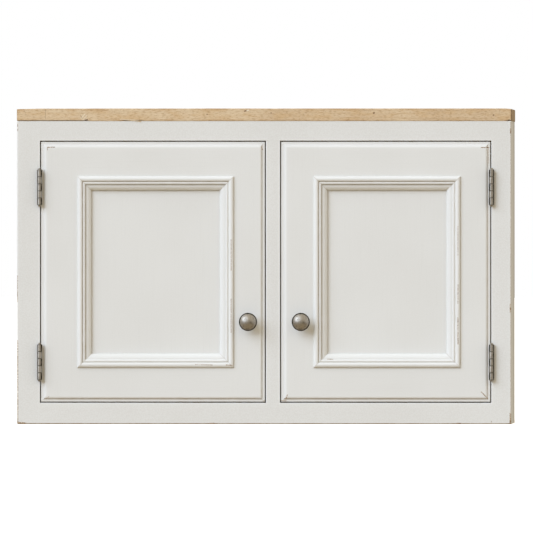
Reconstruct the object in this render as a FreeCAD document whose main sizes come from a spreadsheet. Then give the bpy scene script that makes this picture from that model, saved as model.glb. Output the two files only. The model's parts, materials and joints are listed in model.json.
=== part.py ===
import FreeCAD, Part
import Sketcher
import math
import os
from types import SimpleNamespace

# A painted kitchen wall cabinet: a pine carcass with a flush face frame, a bare top board and two
# panelled doors hung on butt hinges. Millimetres; X to the right, the front faces -Y, Z up.
# The origin lies on the wall plane, midway between the two screws of the upper hanging rail.

SIZES = {
    # Whole cabinet
    "overall_width": 900,
    "overall_height": 575,
    "carcass_depth": 300,
    "panel_thickness": 18,
    "housing_depth": 6,
    # Top board
    "top_board_thickness": 23,
    "top_board_overhang": 1,
    # Face frame
    "frame_thickness": 22,
    "frame_left_stile": 42,
    "frame_mid_stile": 25.8,
    "frame_right_stile": 36,
    "frame_top_rail": 36,
    "frame_bottom_rail": 39,
    "left_opening_width": 411.6,
    "frame_tenon_length": 22,
    "frame_tenon_thickness": 8,
    "frame_tenon_shoulder": 5,
    # Back boards and hanging rails
    "back_board_thickness": 10,
    "back_board_play": 0.6,
    "back_board_bevel": 2,
    "tongue_length": 5,
    "tongue_thickness": 3.4,
    "hanging_rail_height": 80,
    "hanging_rail_thickness": 18,
    "wall_screw_spacing": 440,
    "wall_screw_hole_radius": 2.75,
    # Shelf and pins
    "shelf_play": 0.8,
    "shelf_setback": 24,
    "shelf_pin_radius": 2.5,
    "shelf_pin_depth": 10,
    "shelf_pin_reach": 9,
    "shelf_pin_width": 10,
    "shelf_pin_inset": 45,
    "shelf_hole_pitch": 32,
    "shelf_first_hole": 152,
    # Door stop, magnets and strike studs
    "stop_overlap": 16,
    "stop_depth": 22,
    "magnet_radius": 5,
    "magnet_depth": 6,
    "magnet_drop": 8,
    "strike_inset": 30,
    "strike_radius": 5.5,
    "strike_thickness": 1,
    "strike_spike_radius": 1,
    "strike_spike_length": 9,
    "catch_gap": 0.2,
    # Doors
    "door_gap": 1.8,
    "door_thickness": 22,
    "left_hinge_margin": 66.3,
    "left_lock_margin": 56.5,
    "right_hinge_margin": 54.1,
    "right_lock_margin": 59,
    "top_margin": 62.9,
    "bottom_margin": 61.8,
    "edge_ledge": 4.6,
    "edge_round": 6,
    "edge_drop": 2.2,
    "door_panel_thickness": 8,
    "panel_recess": 8,
    "panel_groove_depth": 8,
    "panel_play": 0.8,
    "door_tenon_length": 30,
    "door_tenon_shoulder": 15,
    # Panel moulding
    "moulding_width": 26,
    "moulding_lap": 10,
    "bead_toe": 0.8,
    "bead_width": 10.5,
    "bead_radius": 5.7,
    "quirk_height": 2.2,
    "small_bead_width": 5.2,
    "small_bead_radius": 2.8,
    "small_bead_fall": 0.6,
    "ovolo_drop": 1,
    "ovolo_inset": 1.2,
    "ovolo_radius": 10.5,
    "moulding_toe": 0.8,
    # Knobs
    "knob_radius": 16.5,
    "knob_rim": 1.6,
    "knob_projection": 28,
    "knob_dome_height": 8.4,
    "knob_neck_radius": 5.5,
    "knob_foot_radius": 8.5,
    "knob_foot_height": 2.4,
    "knob_cove_radius": 14,
    "knob_height": 145.5,
    "left_knob_inset": 30.2,
    "right_knob_inset": 36.5,
    "bolt_radius": 2,
    "bolt_head_radius": 4,
    "bolt_head_height": 2.2,
    "bolt_grip": 11,
    # Hinges
    "hinge_height": 64,
    "hinge_drop": 83,
    "hinge_rise": 72,
    "knuckle_radius": 4.6,
    "knuckle_play": 0.2,
    "knuckle_clearance": 0.5,
    "hinge_pin_radius": 2.2,
    "pin_play": 0.05,
    "tip_radius": 3.7,
    "tip_rim": 1,
    "tip_dome_height": 2.2,
    "leaf_thickness": 2,
    "leaf_width": 18,
    "leaf_clearance": 0.8,
    "pin_offset": 1.4,
    "leaf_screw_rise": 22,
    "leaf_screw_near": 8.5,
    "leaf_screw_far": 13.5,
    # Screws
    "hinge_screw_radius": 1.5,
    "hinge_screw_head_radius": 2.75,
    "hinge_screw_head_height": 1.25,
    "hinge_screw_length": 16,
    "carcass_screw_radius": 2,
    "carcass_screw_head_radius": 3.9,
    "carcass_screw_head_height": 1.9,
    "carcass_screw_length": 35,
    "screw_point": 3,
    "screw_slot_width": 0.8,
    "screw_slot_depth": 0.7,
    "batten_screw_recess": 12,
    "screw_end_inset": 70,
    "screw_front_inset": 70,
    "screw_back_inset": 50,
    # Fits
    "joint_fit": 0.1,
    "screw_fit": 0.05,
    "bolt_fit": 0.25,
    "tool_margin": 1,
}
BACK_BOARD_COUNT = 6
SHELF_HOLE_ROWS = 5
SHELF_ROW = 2
KNUCKLE_COUNT = 5
FRAME_KNUCKLES = (0, 2, 4)
DOOR_KNUCKLES = (1, 3)

Vector = FreeCAD.Vector
X_AXIS = Vector(1, 0, 0)
Y_AXIS = Vector(0, 1, 0)
NO_TURN = FreeCAD.Rotation()
Z_TO_X = FreeCAD.Rotation(Y_AXIS, 90)
Z_TO_MINUS_X = FreeCAD.Rotation(Y_AXIS, -90)
Z_TO_Y = FreeCAD.Rotation(X_AXIS, -90)
Z_TO_MINUS_Y = FreeCAD.Rotation(X_AXIS, 90)
UPSIDE_DOWN = FreeCAD.Rotation(X_AXIS, 180)
HALF_TURN = FreeCAD.Rotation(Y_AXIS, 180)


class Size:
    """A length that carries its value and the sheet expression it comes from."""

    def __init__(self, text, value):
        self.text = text
        self.value = value

    def __add__(self, other):
        other = as_size(other)
        return Size(f"({self.text} + {other.text})", self.value + other.value)

    def __sub__(self, other):
        other = as_size(other)
        return Size(f"({self.text} - {other.text})", self.value - other.value)

    def __mul__(self, other):
        other = as_size(other)
        return Size(f"({self.text} * {other.text})", self.value * other.value)

    def __truediv__(self, other):
        other = as_size(other)
        return Size(f"({self.text} / {other.text})", self.value / other.value)

    def __neg__(self):
        return Size(f"(-{self.text})", -self.value)

    __rmul__ = __mul__


def as_size(item):
    """A plain number as a Size."""
    if isinstance(item, Size):
        return item
    return Size(f"({item})", item)


def between(first, second):
    """Two limits, lower one first."""
    return (first, second) if first.value < second.value else (second, first)


def crown_radius(half_width, height):
    """Radius of an arc that climbs to a height over a half width and is level at its top."""
    return (half_width * half_width + height * height) / (height * 2)


# The sheet of driving sizes
doc = FreeCAD.newDocument("wall_cabinet")
sheet = doc.addObject("Spreadsheet::Sheet", "dims")
for row, (size_name, size_value) in enumerate(SIZES.items(), start=1):
    sheet.set(f"A{row}", size_name)
    sheet.set(f"B{row}", str(size_value))
    sheet.setAlias(f"B{row}", size_name)
doc.recompute()
d = SimpleNamespace(**{name: Size(f"dims.{name}", value) for name, value in SIZES.items()})
nodes = {}


# Solids and booleans
def place(item, spot, turn=NO_TURN):
    """Sets an object at a spot bound to the sheet, with a fixed turn."""
    item.Placement = FreeCAD.Placement(Vector(), turn)
    for axis, size in zip("xyz", spot):
        item.setExpression(f"Placement.Base.{axis}", as_size(size).text)


def block(name, x, y, z):
    """A rectangular solid between two limits on each axis."""
    item = doc.addObject("Part::Box", name)
    for prop, (low, high) in zip(("Length", "Width", "Height"), (x, y, z)):
        item.setExpression(prop, (high - low).text)
    place(item, (x[0], y[0], z[0]))
    return item


def rod(name, radius, axis, span, at):
    """A cylinder along one axis; `at` holds its two other coordinates."""
    item = doc.addObject("Part::Cylinder", name)
    item.setExpression("Radius", radius.text)
    item.setExpression("Height", (span[1] - span[0]).text)
    if axis == "x":
        place(item, (span[0], at[0], at[1]), Z_TO_X)
    elif axis == "y":
        place(item, (at[0], span[0], at[1]), Z_TO_Y)
    else:
        place(item, (at[0], at[1], span[0]))
    return item


def fuse(name, pieces):
    item = doc.addObject("Part::MultiFuse", name)
    item.Shapes = pieces
    item.Refine = True
    return item


def cut(name, base, tools):
    item = doc.addObject("Part::Cut", name)
    item.Base = base
    item.Tool = tools[0] if len(tools) == 1 else fuse(f"{name}_tools", tools)
    return item


def copies(master, name, spots, turn=NO_TURN):
    """Links to one master solid, one at each spot."""
    links = []
    for number, spot in enumerate(spots, start=1):
        link = doc.addObject("App::Link", f"{name}_{number}")
        link.LinkedObject = master
        place(link, spot, turn)
        links.append(link)
    return links


def group(name, items):
    item = doc.addObject("Part::Compound", name)
    item.Links = items
    return item


def node(name, item):
    """Names an object as one sub-part of the cabinet."""
    item.Label = name
    nodes[name] = item
    return item


# Sketched solids
def draw(body, name, plane, outline):
    """A closed counter-clockwise outline on one of a body's own planes.

    Each corner is (x, y), or (x, y, radius, side) where an arc runs to the next corner: side is 1
    for an arc that bulges out of the outline and -1 for one that bulges into it.
    """
    sketch = body.newObject("Sketcher::SketchObject", name)
    support = next(item for item in body.Origin.OriginFeatures if item.Role == plane)
    sketch.AttachmentSupport = [(support, "")]
    sketch.MapMode = "FlatFace"
    corners = [(as_size(corner[0]), as_size(corner[1])) for corner in outline]
    points = [Vector(x.value, y.value, 0) for x, y in corners]
    ends = []
    for number, corner in enumerate(outline):
        start = points[number]
        stop = points[(number + 1) % len(points)]
        if len(corner) == 2:
            edge = sketch.addGeometry(Part.LineSegment(start, stop), False)
            ends.append((edge, 1, 2))
            continue
        radius, side = corner[2], corner[3]
        chord = stop - start
        rise = math.sqrt(radius.value ** 2 - (chord.Length / 2) ** 2)
        normal = Vector(-chord.y, chord.x, 0).normalize()
        centre = (start + stop) / 2 + normal * rise * side
        first, last = (start, stop) if side > 0 else (stop, start)
        angles = [math.atan2(point.y - centre.y, point.x - centre.x) for point in (first, last)]
        circle = Part.Circle(centre, Vector(0, 0, 1), radius.value)
        edge = sketch.addGeometry(Part.ArcOfCircle(circle, *angles), False)
        ends.append((edge, 1, 2) if side > 0 else (edge, 2, 1))
    for number, (edge, _, stop_end) in enumerate(ends):
        next_edge, next_end, _ = ends[(number + 1) % len(ends)]
        sketch.addConstraint(Sketcher.Constraint("Coincident", edge, stop_end, next_edge, next_end))
    for number, ((edge, start_end, _), (x, y)) in enumerate(zip(ends, corners)):
        for kind, letter, size in (("DistanceX", "x", x), ("DistanceY", "y", y)):
            rule = Sketcher.Constraint(kind, -1, 1, edge, start_end, size.value)
            bind_rule(sketch, rule, f"{letter}{number}", size)
        if len(outline[number]) > 2:
            radius = outline[number][2]
            bind_rule(sketch, Sketcher.Constraint("Radius", edge, radius.value), f"r{number}", radius)
    return sketch


def bind_rule(sketch, rule, name, size):
    sketch.renameConstraint(sketch.addConstraint(rule), name)
    sketch.setExpression(f"Constraints.{name}", size.text)


def padded(name, plane, outline, length):
    """A body whose outline is pushed out along the normal of its plane."""
    body = doc.addObject("PartDesign::Body", name)
    pad = body.newObject("PartDesign::Pad", f"{name}_pad")
    pad.Profile = draw(body, f"{name}_outline", plane, outline)
    pad.setExpression("Length", length.text)
    body.Tip = pad
    return body


def turned(name, outline):
    """A body turned about Z; the outline holds radius and height."""
    body = doc.addObject("PartDesign::Body", name)
    profile = draw(body, f"{name}_profile", "XZ_Plane", outline)
    turn = body.newObject("PartDesign::Revolution", f"{name}_turn")
    turn.Profile = profile
    turn.ReferenceAxis = (profile, ["V_Axis"])
    turn.Angle = 360
    body.Tip = turn
    return body


def pocketed(body, name, plane, outlines, depth=None):
    """Cuts outlines into a body, to a depth or right through on both sides."""
    for number, outline in enumerate(outlines, start=1):
        pocket = body.newObject("PartDesign::Pocket", f"{name}_{number}")
        pocket.Profile = draw(body, f"{name}_{number}_outline", plane, outline)
        if depth is None:
            pocket.Type = "ThroughAll"
            pocket.Midplane = True
        else:
            pocket.setExpression("Length", depth.text)
        body.Tip = pocket
    return body


# Screws: the head's flat top lies at height zero and the point looks down
def screw_outline(radius, head_radius, head_height, length, spare):
    return [
        (0, -length - spare),
        (radius + spare, -length + d.screw_point),
        (radius + spare, -head_height),
        (head_radius + spare, 0),
        (0, 0),
    ]


def screw_and_bore(name, radius, head_radius, head_height, length):
    """A slotted countersunk screw, and the slightly larger bore that it sits in."""
    sizes = (radius, head_radius, head_height, length)
    screw = turned(name, screw_outline(*sizes, as_size(0)))
    half_slot = d.screw_slot_width / 2
    slot = [
        (-head_radius, -half_slot),
        (head_radius, -half_slot),
        (head_radius, half_slot),
        (-head_radius, half_slot),
    ]
    pocketed(screw, f"{name}_slot", "XY_Plane", [slot], d.screw_slot_depth)
    bore = turned(f"{name}_bore", screw_outline(*sizes, d.screw_fit))
    return screw, bore


hinge_screw, hinge_screw_bore = screw_and_bore(
    "hinge_screw", d.hinge_screw_radius, d.hinge_screw_head_radius,
    d.hinge_screw_head_height, d.hinge_screw_length)
carcass_screw, carcass_screw_bore = screw_and_bore(
    "carcass_screw", d.carcass_screw_radius, d.carcass_screw_head_radius,
    d.carcass_screw_head_height, d.carcass_screw_length)

# Planes of the cabinet
zero = as_size(0)
left = -d.overall_width / 2
right = d.overall_width / 2
inner_left = left + d.panel_thickness
inner_right = right - d.panel_thickness
frame_back = -d.carcass_depth
face = frame_back - d.frame_thickness
rail_front = -d.hanging_rail_thickness
boards_front = rail_front - d.back_board_thickness
carcass_top = d.hanging_rail_height / 2
base = carcass_top + d.top_board_thickness - d.overall_height
top_panel_under = carcass_top - d.panel_thickness
opening_bottom = base + d.frame_bottom_rail
opening_top = carcass_top - d.frame_top_rail
left_opening = (left + d.frame_left_stile, left + d.frame_left_stile + d.left_opening_width)
right_opening = (left_opening[1] + d.frame_mid_stile, right - d.frame_right_stile)
carcass_span = (base, carcass_top)

# Shelf holes: two columns in each side panel
shelf_columns = (
    frame_back + d.shelf_setback + d.shelf_pin_inset,
    boards_front - d.shelf_pin_inset,
)
shelf_rows = [
    opening_bottom + d.shelf_first_hole + d.shelf_hole_pitch * number
    for number in range(SHELF_HOLE_ROWS)
]
shelf_under = shelf_rows[SHELF_ROW] + d.shelf_pin_radius


def side_panel(name, outer, inner, inward):
    """One side: housed for the bottom and top panels, grooved for the back, drilled for the shelf."""
    housing = between(inner, inner - inward * d.housing_depth)
    panel_run = (frame_back, boards_front)
    tools = [
        block(f"{name}_bottom_housing", housing, panel_run,
              (opening_bottom - d.panel_thickness, opening_bottom)),
        block(f"{name}_top_rebate", housing, panel_run, (top_panel_under, carcass_top)),
        block(f"{name}_back_groove", housing, (boards_front, rail_front), carcass_span),
    ]
    hole_span = between(inner, inner - inward * d.shelf_pin_depth)
    for column, y in enumerate(shelf_columns):
        for number, z in enumerate(shelf_rows):
            hole = rod(f"{name}_hole_{column}_{number}", d.shelf_pin_radius + d.screw_fit,
                       "x", hole_span, (y, z))
            tools.append(hole)
    blank = block(f"{name}_blank", between(outer, inner), (frame_back, zero), carcass_span)
    return node(name, cut(name, blank, tools))


def shelf_pin(name, inner, inward, y):
    """A pin in its hole with a flat tab that carries the shelf."""
    z = shelf_rows[SHELF_ROW]
    stem_depth = d.shelf_pin_depth - d.joint_fit
    stem_span = between(inner + inward * d.shelf_pin_reach, inner - inward * stem_depth)
    stem = rod(f"{name}_stem", d.shelf_pin_radius, "x", stem_span, (y, z))
    half = d.shelf_pin_width / 2
    tab = block(f"{name}_tab", between(inner, inner + inward * d.shelf_pin_reach), (y - half, y + half),
                (z - d.shelf_pin_radius, z + d.shelf_pin_radius))
    return fuse(name, [stem, tab])


# Carcass panels
side_panel("left_side_panel", left, inner_left, 1)
side_panel("right_side_panel", right, inner_right, -1)
housed = (inner_left - d.housing_depth + d.joint_fit, inner_right + d.housing_depth - d.joint_fit)
panel_depth = (frame_back, boards_front)
node("bottom_panel", block("bottom_panel", housed, panel_depth,
                           (opening_bottom - d.panel_thickness, opening_bottom)))

# Screws through the top panel into the top board, and through the batten into the top panel
screw_x = (inner_left + d.screw_end_inset, zero, inner_right - d.screw_end_inset)
screw_y = (frame_back + d.screw_front_inset, boards_front - d.screw_back_inset)
door_back = face + d.door_thickness
stop_front = door_back + d.strike_thickness + d.catch_gap
stop_bottom = opening_top - d.stop_overlap
stop_middle = stop_front + d.stop_depth / 2
board_screw_spots = [(x, y, top_panel_under) for x in screw_x for y in screw_y]
batten_screw_spots = [(x, stop_middle, stop_bottom + d.batten_screw_recess) for x in screw_x]
carcass_screw_spots = board_screw_spots + batten_screw_spots
carcass_screws = copies(carcass_screw, "carcass_screw_at", carcass_screw_spots, UPSIDE_DOWN)
carcass_bores = copies(carcass_screw_bore, "carcass_bore_at", carcass_screw_spots, UPSIDE_DOWN)
batten_recesses = [
    rod(f"batten_recess_{number}", d.carcass_screw_head_radius + d.bolt_fit, "z",
        (stop_bottom - d.tool_margin, spot[2]), spot[:2])
    for number, spot in enumerate(batten_screw_spots)
]
node("carcass_screws", group("carcass_screws", carcass_screws))
top_panel_blank = block("top_panel_blank", housed, panel_depth, (top_panel_under, carcass_top))
node("top_panel", cut("top_panel", top_panel_blank, carcass_bores))
top_board_blank = block(
    "top_board_blank",
    (left - d.top_board_overhang, right + d.top_board_overhang),
    (face - d.top_board_overhang, zero),
    (carcass_top, carcass_top + d.top_board_thickness))
node("top_board", cut("top_board", top_board_blank, carcass_bores))

# Hanging rails and back boards
wall_screw_heights = (zero, base + d.hanging_rail_height / 2)
wall_screw_holes = [
    rod(f"wall_screw_hole_{row}_{column}", d.wall_screw_hole_radius, "y",
        (boards_front - d.tool_margin, zero + d.tool_margin),
        (side * d.wall_screw_spacing / 2, z))
    for row, z in enumerate(wall_screw_heights)
    for column, side in enumerate((-1, 1))
]
rail_run = (inner_left, inner_right)
rail_depth = (rail_front, zero)
for rail_name, rail_low in (("upper_hanging_rail", carcass_top - d.hanging_rail_height),
                            ("lower_hanging_rail", base)):
    rail_height = (rail_low, rail_low + d.hanging_rail_height)
    rail_blank = block(f"{rail_name}_blank", rail_run, rail_depth, rail_height)
    node(rail_name, cut(rail_name, rail_blank, wall_screw_holes))

boards_left = inner_left - d.housing_depth + d.back_board_play
boards_right = inner_right + d.housing_depth - d.back_board_play
board_pitch = (boards_right - boards_left + d.back_board_play) / BACK_BOARD_COUNT
board_middle = (boards_front + rail_front) / 2


def back_board(name, number):
    """One tongue-and-groove board with bevelled front arrises where it meets its neighbours."""
    low = boards_left + board_pitch * number
    high = low + board_pitch - d.back_board_play
    half_tongue = d.tongue_thickness / 2
    half_groove = half_tongue + d.joint_fit
    groove_floor = low + d.tongue_length + d.joint_fit
    tip = high + d.tongue_length
    bevel = d.back_board_bevel
    if number == 0:
        outline = [(low, boards_front)]
    else:
        outline = [
            (low, board_middle + half_groove),
            (groove_floor, board_middle + half_groove),
            (groove_floor, board_middle - half_groove),
            (low, board_middle - half_groove),
            (low, boards_front + bevel),
            (low + bevel, boards_front),
        ]
    if number == BACK_BOARD_COUNT - 1:
        outline += [(high, boards_front)]
    else:
        outline += [
            (high - bevel, boards_front),
            (high, boards_front + bevel),
            (high, board_middle - half_tongue),
            (tip, board_middle - half_tongue),
            (tip, board_middle + half_tongue),
            (high, board_middle + half_tongue),
        ]
    outline += [(high, rail_front), (low, rail_front)]
    blank = padded(f"{name}_blank", "XY_Plane", outline, carcass_top - base)
    place(blank, (0, 0, base))
    return node(name, cut(name, blank, wall_screw_holes))


for board_number in range(BACK_BOARD_COUNT):
    back_board(f"back_board_{board_number + 1}", board_number)

# Shelf on its pins
node("shelf", block("shelf",
                    (inner_left + d.shelf_play, inner_right - d.shelf_play),
                    (frame_back + d.shelf_setback, boards_front - d.shelf_play),
                    (shelf_under, shelf_under + d.panel_thickness)))
shelf_pins = [
    shelf_pin(f"shelf_pin_{side}_{column}", inner, inward, y)
    for side, inner, inward in (("left", inner_left, 1), ("right", inner_right, -1))
    for column, y in enumerate(shelf_columns)
]
node("shelf_pins", group("shelf_pins", shelf_pins))

# Hinge: its own origin is on the pin axis at mid height, and each leaf's plate is drawn on the +X
# side. The pin stands nearer to the frame than to the door.
half_hinge = d.hinge_height / 2
knuckle_length = d.hinge_height / KNUCKLE_COUNT
pin_stand = d.knuckle_radius + d.knuckle_clearance
plate_face = d.leaf_clearance / 2
plate_faces = {"frame": plate_face - d.pin_offset, "door": plate_face + d.pin_offset}
plate_y = (pin_stand, pin_stand + d.leaf_width)
leaf_screw_places = (
    (pin_stand + d.leaf_screw_near, d.leaf_screw_rise),
    (pin_stand + d.leaf_screw_far, zero),
    (pin_stand + d.leaf_screw_near, -d.leaf_screw_rise),
)


def hinge_leaf(kind, knuckles):
    """A leaf with its knuckles, bored for the pin and countersunk for three screws."""
    name = f"{kind}_leaf"
    plate_x = (plate_faces[kind], plate_faces[kind] + d.leaf_thickness)
    pieces = [block(f"{name}_plate", plate_x, plate_y, (-half_hinge, half_hinge))]
    for number in knuckles:
        low = -half_hinge + knuckle_length * number + d.knuckle_play / 2
        span = (low, low + knuckle_length - d.knuckle_play)
        pieces.append(rod(f"{name}_knuckle_{number}", d.knuckle_radius, "z", span, (zero, zero)))
        pieces.append(block(f"{name}_neck_{number}", plate_x, (zero, plate_y[0]), span))
    pin_hole = rod(f"{name}_pin_hole", d.hinge_pin_radius + d.pin_play, "z",
                   (-half_hinge - d.tool_margin, half_hinge + d.tool_margin), (zero, zero))
    spots = [(plate_x[0], y, z) for y, z in leaf_screw_places]
    bores = copies(hinge_screw_bore, f"{name}_bore", spots, Z_TO_MINUS_X)
    return cut(name, fuse(f"{name}_blank", pieces), [pin_hole] + bores)


frame_leaf = hinge_leaf("frame", FRAME_KNUCKLES)
door_leaf = hinge_leaf("door", DOOR_KNUCKLES)
tip_base = half_hinge + d.knuckle_play / 2
tip_dome_radius = crown_radius(d.tip_radius, d.tip_dome_height)
hinge_pin = turned("hinge_pin", [
    (0, -tip_base - d.tip_rim - d.tip_dome_height, tip_dome_radius, 1),
    (d.tip_radius, -tip_base - d.tip_rim),
    (d.tip_radius, -tip_base),
    (d.hinge_pin_radius, -tip_base),
    (d.hinge_pin_radius, tip_base),
    (d.tip_radius, tip_base),
    (d.tip_radius, tip_base + d.tip_rim, tip_dome_radius, 1),
    (0, tip_base + d.tip_rim + d.tip_dome_height),
])
pin_y = face - pin_stand
pin_inset = d.door_gap / 2 - d.pin_offset
door_low = opening_bottom + d.door_gap
door_high = opening_top - d.door_gap
hinge_heights = {"upper": door_high - d.hinge_drop, "lower": door_low + d.hinge_rise}
leaf_recess = plate_face + d.leaf_thickness - d.door_gap / 2


def hinge_seat(name, edge, into):
    """Tools that let the two leaves of one edge in flush; `into` points from the gap to the wood."""
    gap_middle = edge - into * d.door_gap / 2
    turn = Z_TO_MINUS_X if into > 0 else Z_TO_X
    recess_x = between(edge - into * d.tool_margin, edge + into * leaf_recess)
    recess_y = (face - d.tool_margin, face + d.leaf_width)
    tools = []
    spots = []
    for level, z in hinge_heights.items():
        tools.append(block(f"{name}_{level}_recess", recess_x, recess_y, (z - half_hinge, z + half_hinge)))
        spots += [(gap_middle + into * plate_face, pin_y + y, z + rise) for y, rise in leaf_screw_places]
    screws = copies(hinge_screw, f"{name}_screw", spots, turn)
    bores = copies(hinge_screw_bore, f"{name}_bore", spots, turn)
    return tools + bores, screws


def hang_leaves(side, kind, master, edge, into):
    """The upper and lower leaf of one kind for one door."""
    turn = NO_TURN if into > 0 else HALF_TURN
    for level, z in hinge_heights.items():
        name = f"{side}_{level}_hinge_{kind}_leaf"
        spot = (edge + into * (plate_face - d.door_gap / 2 - plate_faces[kind]), pin_y, z)
        node(name, group(name, copies(master, f"{name}_copy", [spot], turn)))


# Face frame: stiles run full height, rails and the mid stile are tenoned in
frame_run = (face, frame_back)
tenon_y = (face + (d.frame_thickness - d.frame_tenon_thickness) / 2,
           face + (d.frame_thickness + d.frame_tenon_thickness) / 2)
mortise_y = (tenon_y[0] - d.joint_fit, tenon_y[1] + d.joint_fit)
rail_spans = {"top": (opening_top, carcass_top), "bottom": (base, opening_bottom)}
frame_inner = (left_opening[0], right_opening[1])
mid_span = (left_opening[1], right_opening[0])


def grown(span, by):
    return (span[0] - by, span[1] + by)


def frame_stile(name, outer, inner, into):
    """An outer stile of the face frame with its mortises and hinge seats."""
    tools, screws = hinge_seat(name, inner, into)
    mortise_depth = d.frame_tenon_length + d.joint_fit
    mortise_x = between(inner - into * d.tool_margin, inner + into * mortise_depth)
    for level, span in rail_spans.items():
        mortise_z = grown(span, d.joint_fit - d.frame_tenon_shoulder)
        tools.append(block(f"{name}_{level}_mortise", mortise_x, mortise_y, mortise_z))
    blank = block(f"{name}_blank", between(outer, inner), frame_run, carcass_span)
    node(name, cut(name, blank, tools))
    return screws


frame_screws = frame_stile("frame_left_stile", left, frame_inner[0], -1)
frame_screws += frame_stile("frame_right_stile", right, frame_inner[1], 1)
node("frame_hinge_screws", group("frame_hinge_screws", frame_screws))

mid_tenon_x = grown(mid_span, -d.frame_tenon_shoulder)
mid_mortise_x = grown(mid_tenon_x, d.joint_fit)
mid_tenon_z = grown((opening_bottom, opening_top), d.frame_tenon_length)
mid_mortise_z = grown(mid_tenon_z, d.joint_fit)
mid_mortise = block("frame_mid_mortise", mid_mortise_x, mortise_y, mid_mortise_z)
node("frame_mid_stile", fuse("frame_mid_stile", [
    block("frame_mid_stile_body", mid_span, frame_run, (opening_bottom, opening_top)),
    block("frame_mid_stile_tenon", mid_tenon_x, tenon_y, mid_tenon_z),
]))
for rail_level, rail_span in rail_spans.items():
    rail_name = f"frame_{rail_level}_rail"
    rail_blank = fuse(f"{rail_name}_blank", [
        block(f"{rail_name}_body", frame_inner, frame_run, rail_span),
        block(f"{rail_name}_tenon", grown(frame_inner, d.frame_tenon_length), tenon_y,
              grown(rail_span, -d.frame_tenon_shoulder)),
    ])
    node(rail_name, cut(rail_name, rail_blank, [mid_mortise]))


# Panel moulding: lies along X with its outer edge at height zero and the door's face at depth zero
def moulding_piece(name, length, spot, angle):
    """One mitred length of the panel moulding, turned about Y to its side of the door."""
    second_quirk = d.bead_width + d.small_bead_width
    small_bead_end = d.quirk_height - d.small_bead_fall
    ovolo_top = small_bead_end - d.ovolo_drop
    back_step = d.moulding_lap + d.joint_fit
    outline = [
        (zero, zero),
        (-d.bead_toe, zero, d.bead_radius, 1),
        (-d.quirk_height, -d.bead_width, d.small_bead_radius, 1),
        (-small_bead_end, -second_quirk),
        (-ovolo_top, -second_quirk),
        (-ovolo_top, -second_quirk - d.ovolo_inset, d.ovolo_radius, 1),
        (d.panel_recess - d.moulding_toe, -d.moulding_width),
        (d.panel_recess, -d.moulding_width),
        (d.panel_recess, -back_step),
        (zero, -back_step),
    ]
    body = padded(name, "YZ_Plane", outline, length)
    spare = d.tool_margin
    reach = d.moulding_width + spare
    near_mitre = [(-spare, spare), (-spare, -reach), (reach, -reach)]
    far_mitre = [(length + spare, spare), (length - reach, -reach), (length + spare, -reach)]
    pocketed(body, f"{name}_mitre", "XZ_Plane", [near_mitre, far_mitre])
    place(body, spot, FreeCAD.Rotation(Y_AXIS, angle))
    return node(name, body)


# Door hardware: each piece is turned about Z and then faced the way it sits on the door
knob_rim_low = d.knob_projection - d.knob_dome_height - d.knob_rim
bolt_hole_depth = d.bolt_grip + d.tool_margin
bolt_hole_radius = d.bolt_radius + d.screw_fit
knob = turned("knob", [
    (bolt_hole_radius, zero),
    (d.knob_foot_radius, zero),
    (d.knob_foot_radius, d.knob_foot_height),
    (d.knob_neck_radius, d.knob_foot_height, d.knob_cove_radius, -1),
    (d.knob_radius, knob_rim_low),
    (d.knob_radius, knob_rim_low + d.knob_rim, crown_radius(d.knob_radius, d.knob_dome_height), 1),
    (zero, d.knob_projection),
    (zero, bolt_hole_depth),
    (bolt_hole_radius, bolt_hole_depth),
])
bolt_blank = turned("knob_bolt_blank", [
    (zero, -d.bolt_head_height),
    (d.bolt_head_radius, -d.bolt_head_height),
    (d.bolt_head_radius, zero),
    (d.bolt_radius, zero),
    (d.bolt_radius, d.door_thickness + d.bolt_grip),
    (zero, d.door_thickness + d.bolt_grip),
])
bolt_slot = block("knob_bolt_slot",
                  (-d.bolt_head_radius - d.tool_margin, d.bolt_head_radius + d.tool_margin),
                  (-d.screw_slot_width / 2, d.screw_slot_width / 2),
                  (-d.bolt_head_height - d.tool_margin, d.screw_slot_depth - d.bolt_head_height))
knob_bolt = cut("knob_bolt", bolt_blank, [bolt_slot])
strike_stud = turned("strike_stud", [
    (zero, -d.strike_spike_length),
    (d.strike_spike_radius, d.screw_point - d.strike_spike_length),
    (d.strike_spike_radius, zero),
    (d.strike_radius, zero),
    (d.strike_radius, d.strike_thickness),
    (zero, d.strike_thickness),
])


# Doors
def edge_tools(side, hinge_edge, lock_edge, into):
    """Tools that run a ledge and a rounded shoulder along the four edges of a door's face."""
    reach = d.edge_ledge + d.edge_round
    radius = crown_radius(d.edge_round, d.edge_drop)
    shoulder_y = face + radius
    depth = (face - d.tool_margin, face + d.edge_drop)
    run_x = grown(between(hinge_edge, lock_edge), d.tool_margin)
    run_z = grown((door_low, door_high), d.tool_margin)
    tools = {}
    for name, edge, way in (("hinge", hinge_edge, into), ("lock", lock_edge, -into)):
        label = f"{side}_{name}_edge"
        strip_x = between(edge - way * d.tool_margin, edge + way * reach)
        strip = block(f"{label}_strip", strip_x, depth, run_z)
        shoulder = rod(f"{label}_shoulder", radius, "z", run_z, (edge + way * reach, shoulder_y))
        tools[name] = cut(f"{label}_tool", strip, [shoulder])
    for name, edge, way in (("bottom", door_low, 1), ("top", door_high, -1)):
        label = f"{side}_{name}_edge"
        strip_z = between(edge - way * d.tool_margin, edge + way * reach)
        strip = block(f"{label}_strip", run_x, depth, strip_z)
        shoulder = rod(f"{label}_shoulder", radius, "x", run_x, (shoulder_y, edge + way * reach))
        tools[name] = cut(f"{label}_tool", strip, [shoulder])
    return tools


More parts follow.
